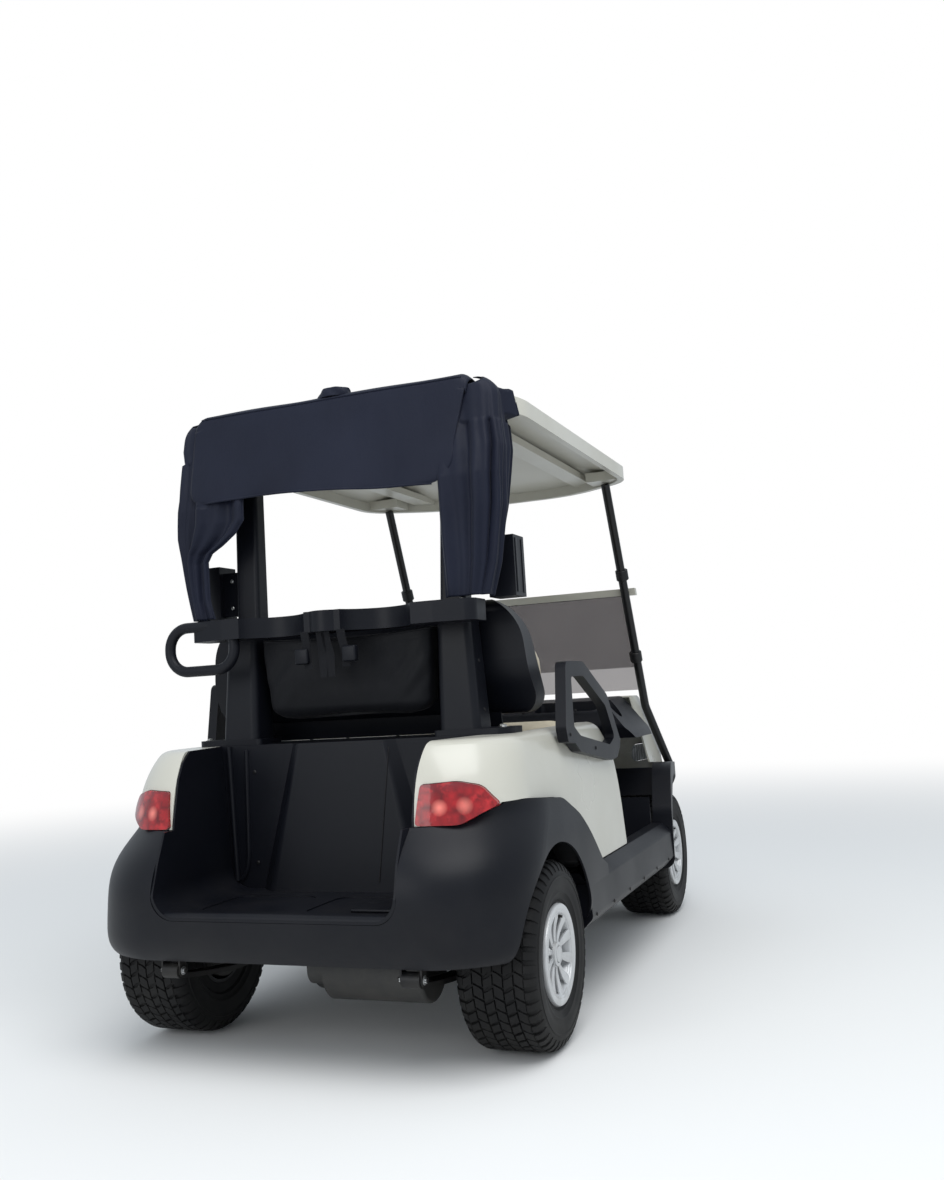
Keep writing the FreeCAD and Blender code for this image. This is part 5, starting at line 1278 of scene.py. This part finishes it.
def level_at(line, z):
    """Reads a value at a height from (height, value) pairs, in rising order."""
    below = [pair for pair in line if pair[0] <= z] or [line[0]]
    above = [pair for pair in line if pair[0] >= z] or [line[-1]]
    (z0, v0), (z1, v1) = below[-1], above[0]
    return v0 + (v1 - v0) * (z - z0) / max(z1 - z0, 0.0001)


flap_line = sorted((z, y) for y, z in cover_line[3:])
outer_reach = {
    1: [(1.136, 0.452), (1.228, 0.466), (1.375, 0.482), (1.491, 0.474), (1.600, 0.478), (1.640, 0.488), (1.740, 0.488)],
    -1: [(1.136, 0.459), (1.221, 0.480), (1.374, 0.501), (1.530, 0.508), (1.600, 0.500), (1.740, 0.494)]}
inner_reach = {
    1: [(1.136, 0.372), (1.190, 0.386), (1.300, 0.388), (1.325, 0.372), (1.345, 0.335), (1.375, 0.292), (1.410, 0.264),
        (1.740, 0.262)],
    -1: [(1.136, 0.342), (1.300, 0.336), (1.740, 0.330)]}
front_edge = [(1.136, 0.742), (1.330, 0.728), (1.480, 0.690), (1.600, 0.664), (1.650, 0.678), (1.735, 0.696)]
# Where the curtain lies over the roof's rear corner: its rounding, and the roof's own rim, which it stays outside.
rounded_beyond, round_from, round_to = 0.400, 1.672, 1.7395
rim_low, rim_high, rim_rear, rim_middle, rim_radius, rim_turn = 1.622, 1.694, 0.7725, 0.375, 0.160, 0.608
rim_gap = 0.0045
crest_heights = [(0.0, 1.690), (0.30, 1.705), (0.52, 1.722), (0.66, 1.735), (0.80, 1.7385), (1.0, 1.7300)]


def curtain_place(across, down, way):
    """A side curtain in plan: from behind the post round the corner to its front edge, in upright folds."""
    crest = level_at(crest_heights, across)
    z = crest - (crest - curtain_foot) * down
    outer, inner = level_at(outer_reach[way], z), level_at(inner_reach[way], z)
    behind = min(0.822, level_at(flap_line, min(z, crest_top)) - 0.012)
    front = level_at(front_edge, z)
    turn_y = max(behind - 0.032, front + 0.030)
    plan = [(inner, behind - 0.006), ((inner + outer) / 2, behind + 0.003), (outer - 0.020, behind - 0.003),
            (outer, turn_y), (outer - 0.004, (turn_y + front) / 2), (outer - 0.012, front)]
    line = smooth_at(plan, across)
    ahead, back = smooth_at(plan, min(across + 0.01, 1.0)), smooth_at(plan, max(across - 0.01, 0.0))
    out = Vector((ahead[1] - back[1], -(ahead[0] - back[0]))).normalized() * -1
    depth = (0.0020 + 0.0115 * math.sin(math.pi * min(down * 0.93, 1.0)) ** 0.7) * (0.35 if z > 1.6 else 1)
    phase = 0.8 * math.sin(2.7 * down + way) + 1.3 * down * way
    fold = 0.8 * math.sin(2 * math.pi * 4.3 * across + phase) + 0.42 * math.sin(2 * math.pi * 9.1 * across - 2.6 * down)
    x, y = line[0] + out.x * depth * fold, line[1] + out.y * depth * fold
    if z > flap_foot and x < 0.44:
        y = min(y, level_at(flap_line, min(z, crest_top)) - 0.005)
    round_off = min(max((z - round_from) / (round_to - round_from), 0.0), 1.0)
    if x > rounded_beyond:
        x = rounded_beyond + (x - rounded_beyond) * math.sqrt(1 - round_off ** 2)
    if rim_low < z < rim_high and y < rim_rear:
        rim = rim_middle + math.sqrt(max(rim_radius ** 2 - max(y - rim_turn, 0.0) ** 2, 0.0))
        x = max(x, rim + rim_gap)
    return Vector((way * x, max(y, 0.7760) if z > 1.600 and x < 0.430 and z < 1.700 else y, z))


for side_name, way in (("left", 1), ("right", -1)):
    curtain, curtain_area = cloth_grid(
        "curtain_" + side_name, 120, 90, lambda across, down, way=way: curtain_place(across, down, way), 0.0024,
        navy_cloth)
    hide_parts("bag_cover")
    for hem_name, edge in (("front", 1.0), ("rear", 0.0)):
        along_path(
            "curtain_%s_hem_%s" % (hem_name, side_name),
            [tuple(curtain_place(edge, 0.12 + 0.88 * at / 80, way)) for at in range(81)], 0.0026, navy_cloth)


# The flap's hem is turned up and sewn; a welt follows the top seam where the flap meets the roof band.
cover_hem = along_path(
    "cover_hem", [tuple(cover_place(at / 90, 0.997)) for at in range(91)], 0.0030, navy_cloth)
top_welt = along_path(
    "cover_top_welt",
    [tuple(cover_place(at / 90, 0.50) + Vector((0, 0.0015, 0.001))) for at in range(2, 89)], 0.0030, navy_cloth)


def knot_place(across, along):
    """The tied end of the cover's drawstring tunnel, a soft lump on the crest."""
    turn = 2 * math.pi * across
    rise = math.sin(math.pi * 0.5 * along)
    half_x = 0.050 * (1 - 0.42 * along ** 1.5) + 0.003 * math.sin(3 * turn) * along
    half_y = 0.030 * (1 - 0.30 * along ** 2)
    squash = math.sqrt(max(1 - max(0.0, (along - 0.72) / 0.28) ** 2, 0.0))
    wobble = 0.0022 * math.sin(5 * turn + 6 * along)
    return Vector((
        -0.010 - 0.012 * along + (half_x + wobble) * math.cos(turn) * (0.25 + 0.75 * squash),
        0.752 + (half_y + wobble) * math.sin(turn) * (0.25 + 0.75 * squash),
        1.7330 + 0.0270 * rise + 0.003 * math.cos(turn) * along))


knot_rows, knot_columns = 18, 40
knot, _ = cloth_grid("cover_knot", knot_rows, knot_columns, knot_place, 0.0020, navy_cloth, closed=True)
closed_below(knot, knot_rows, knot_columns)
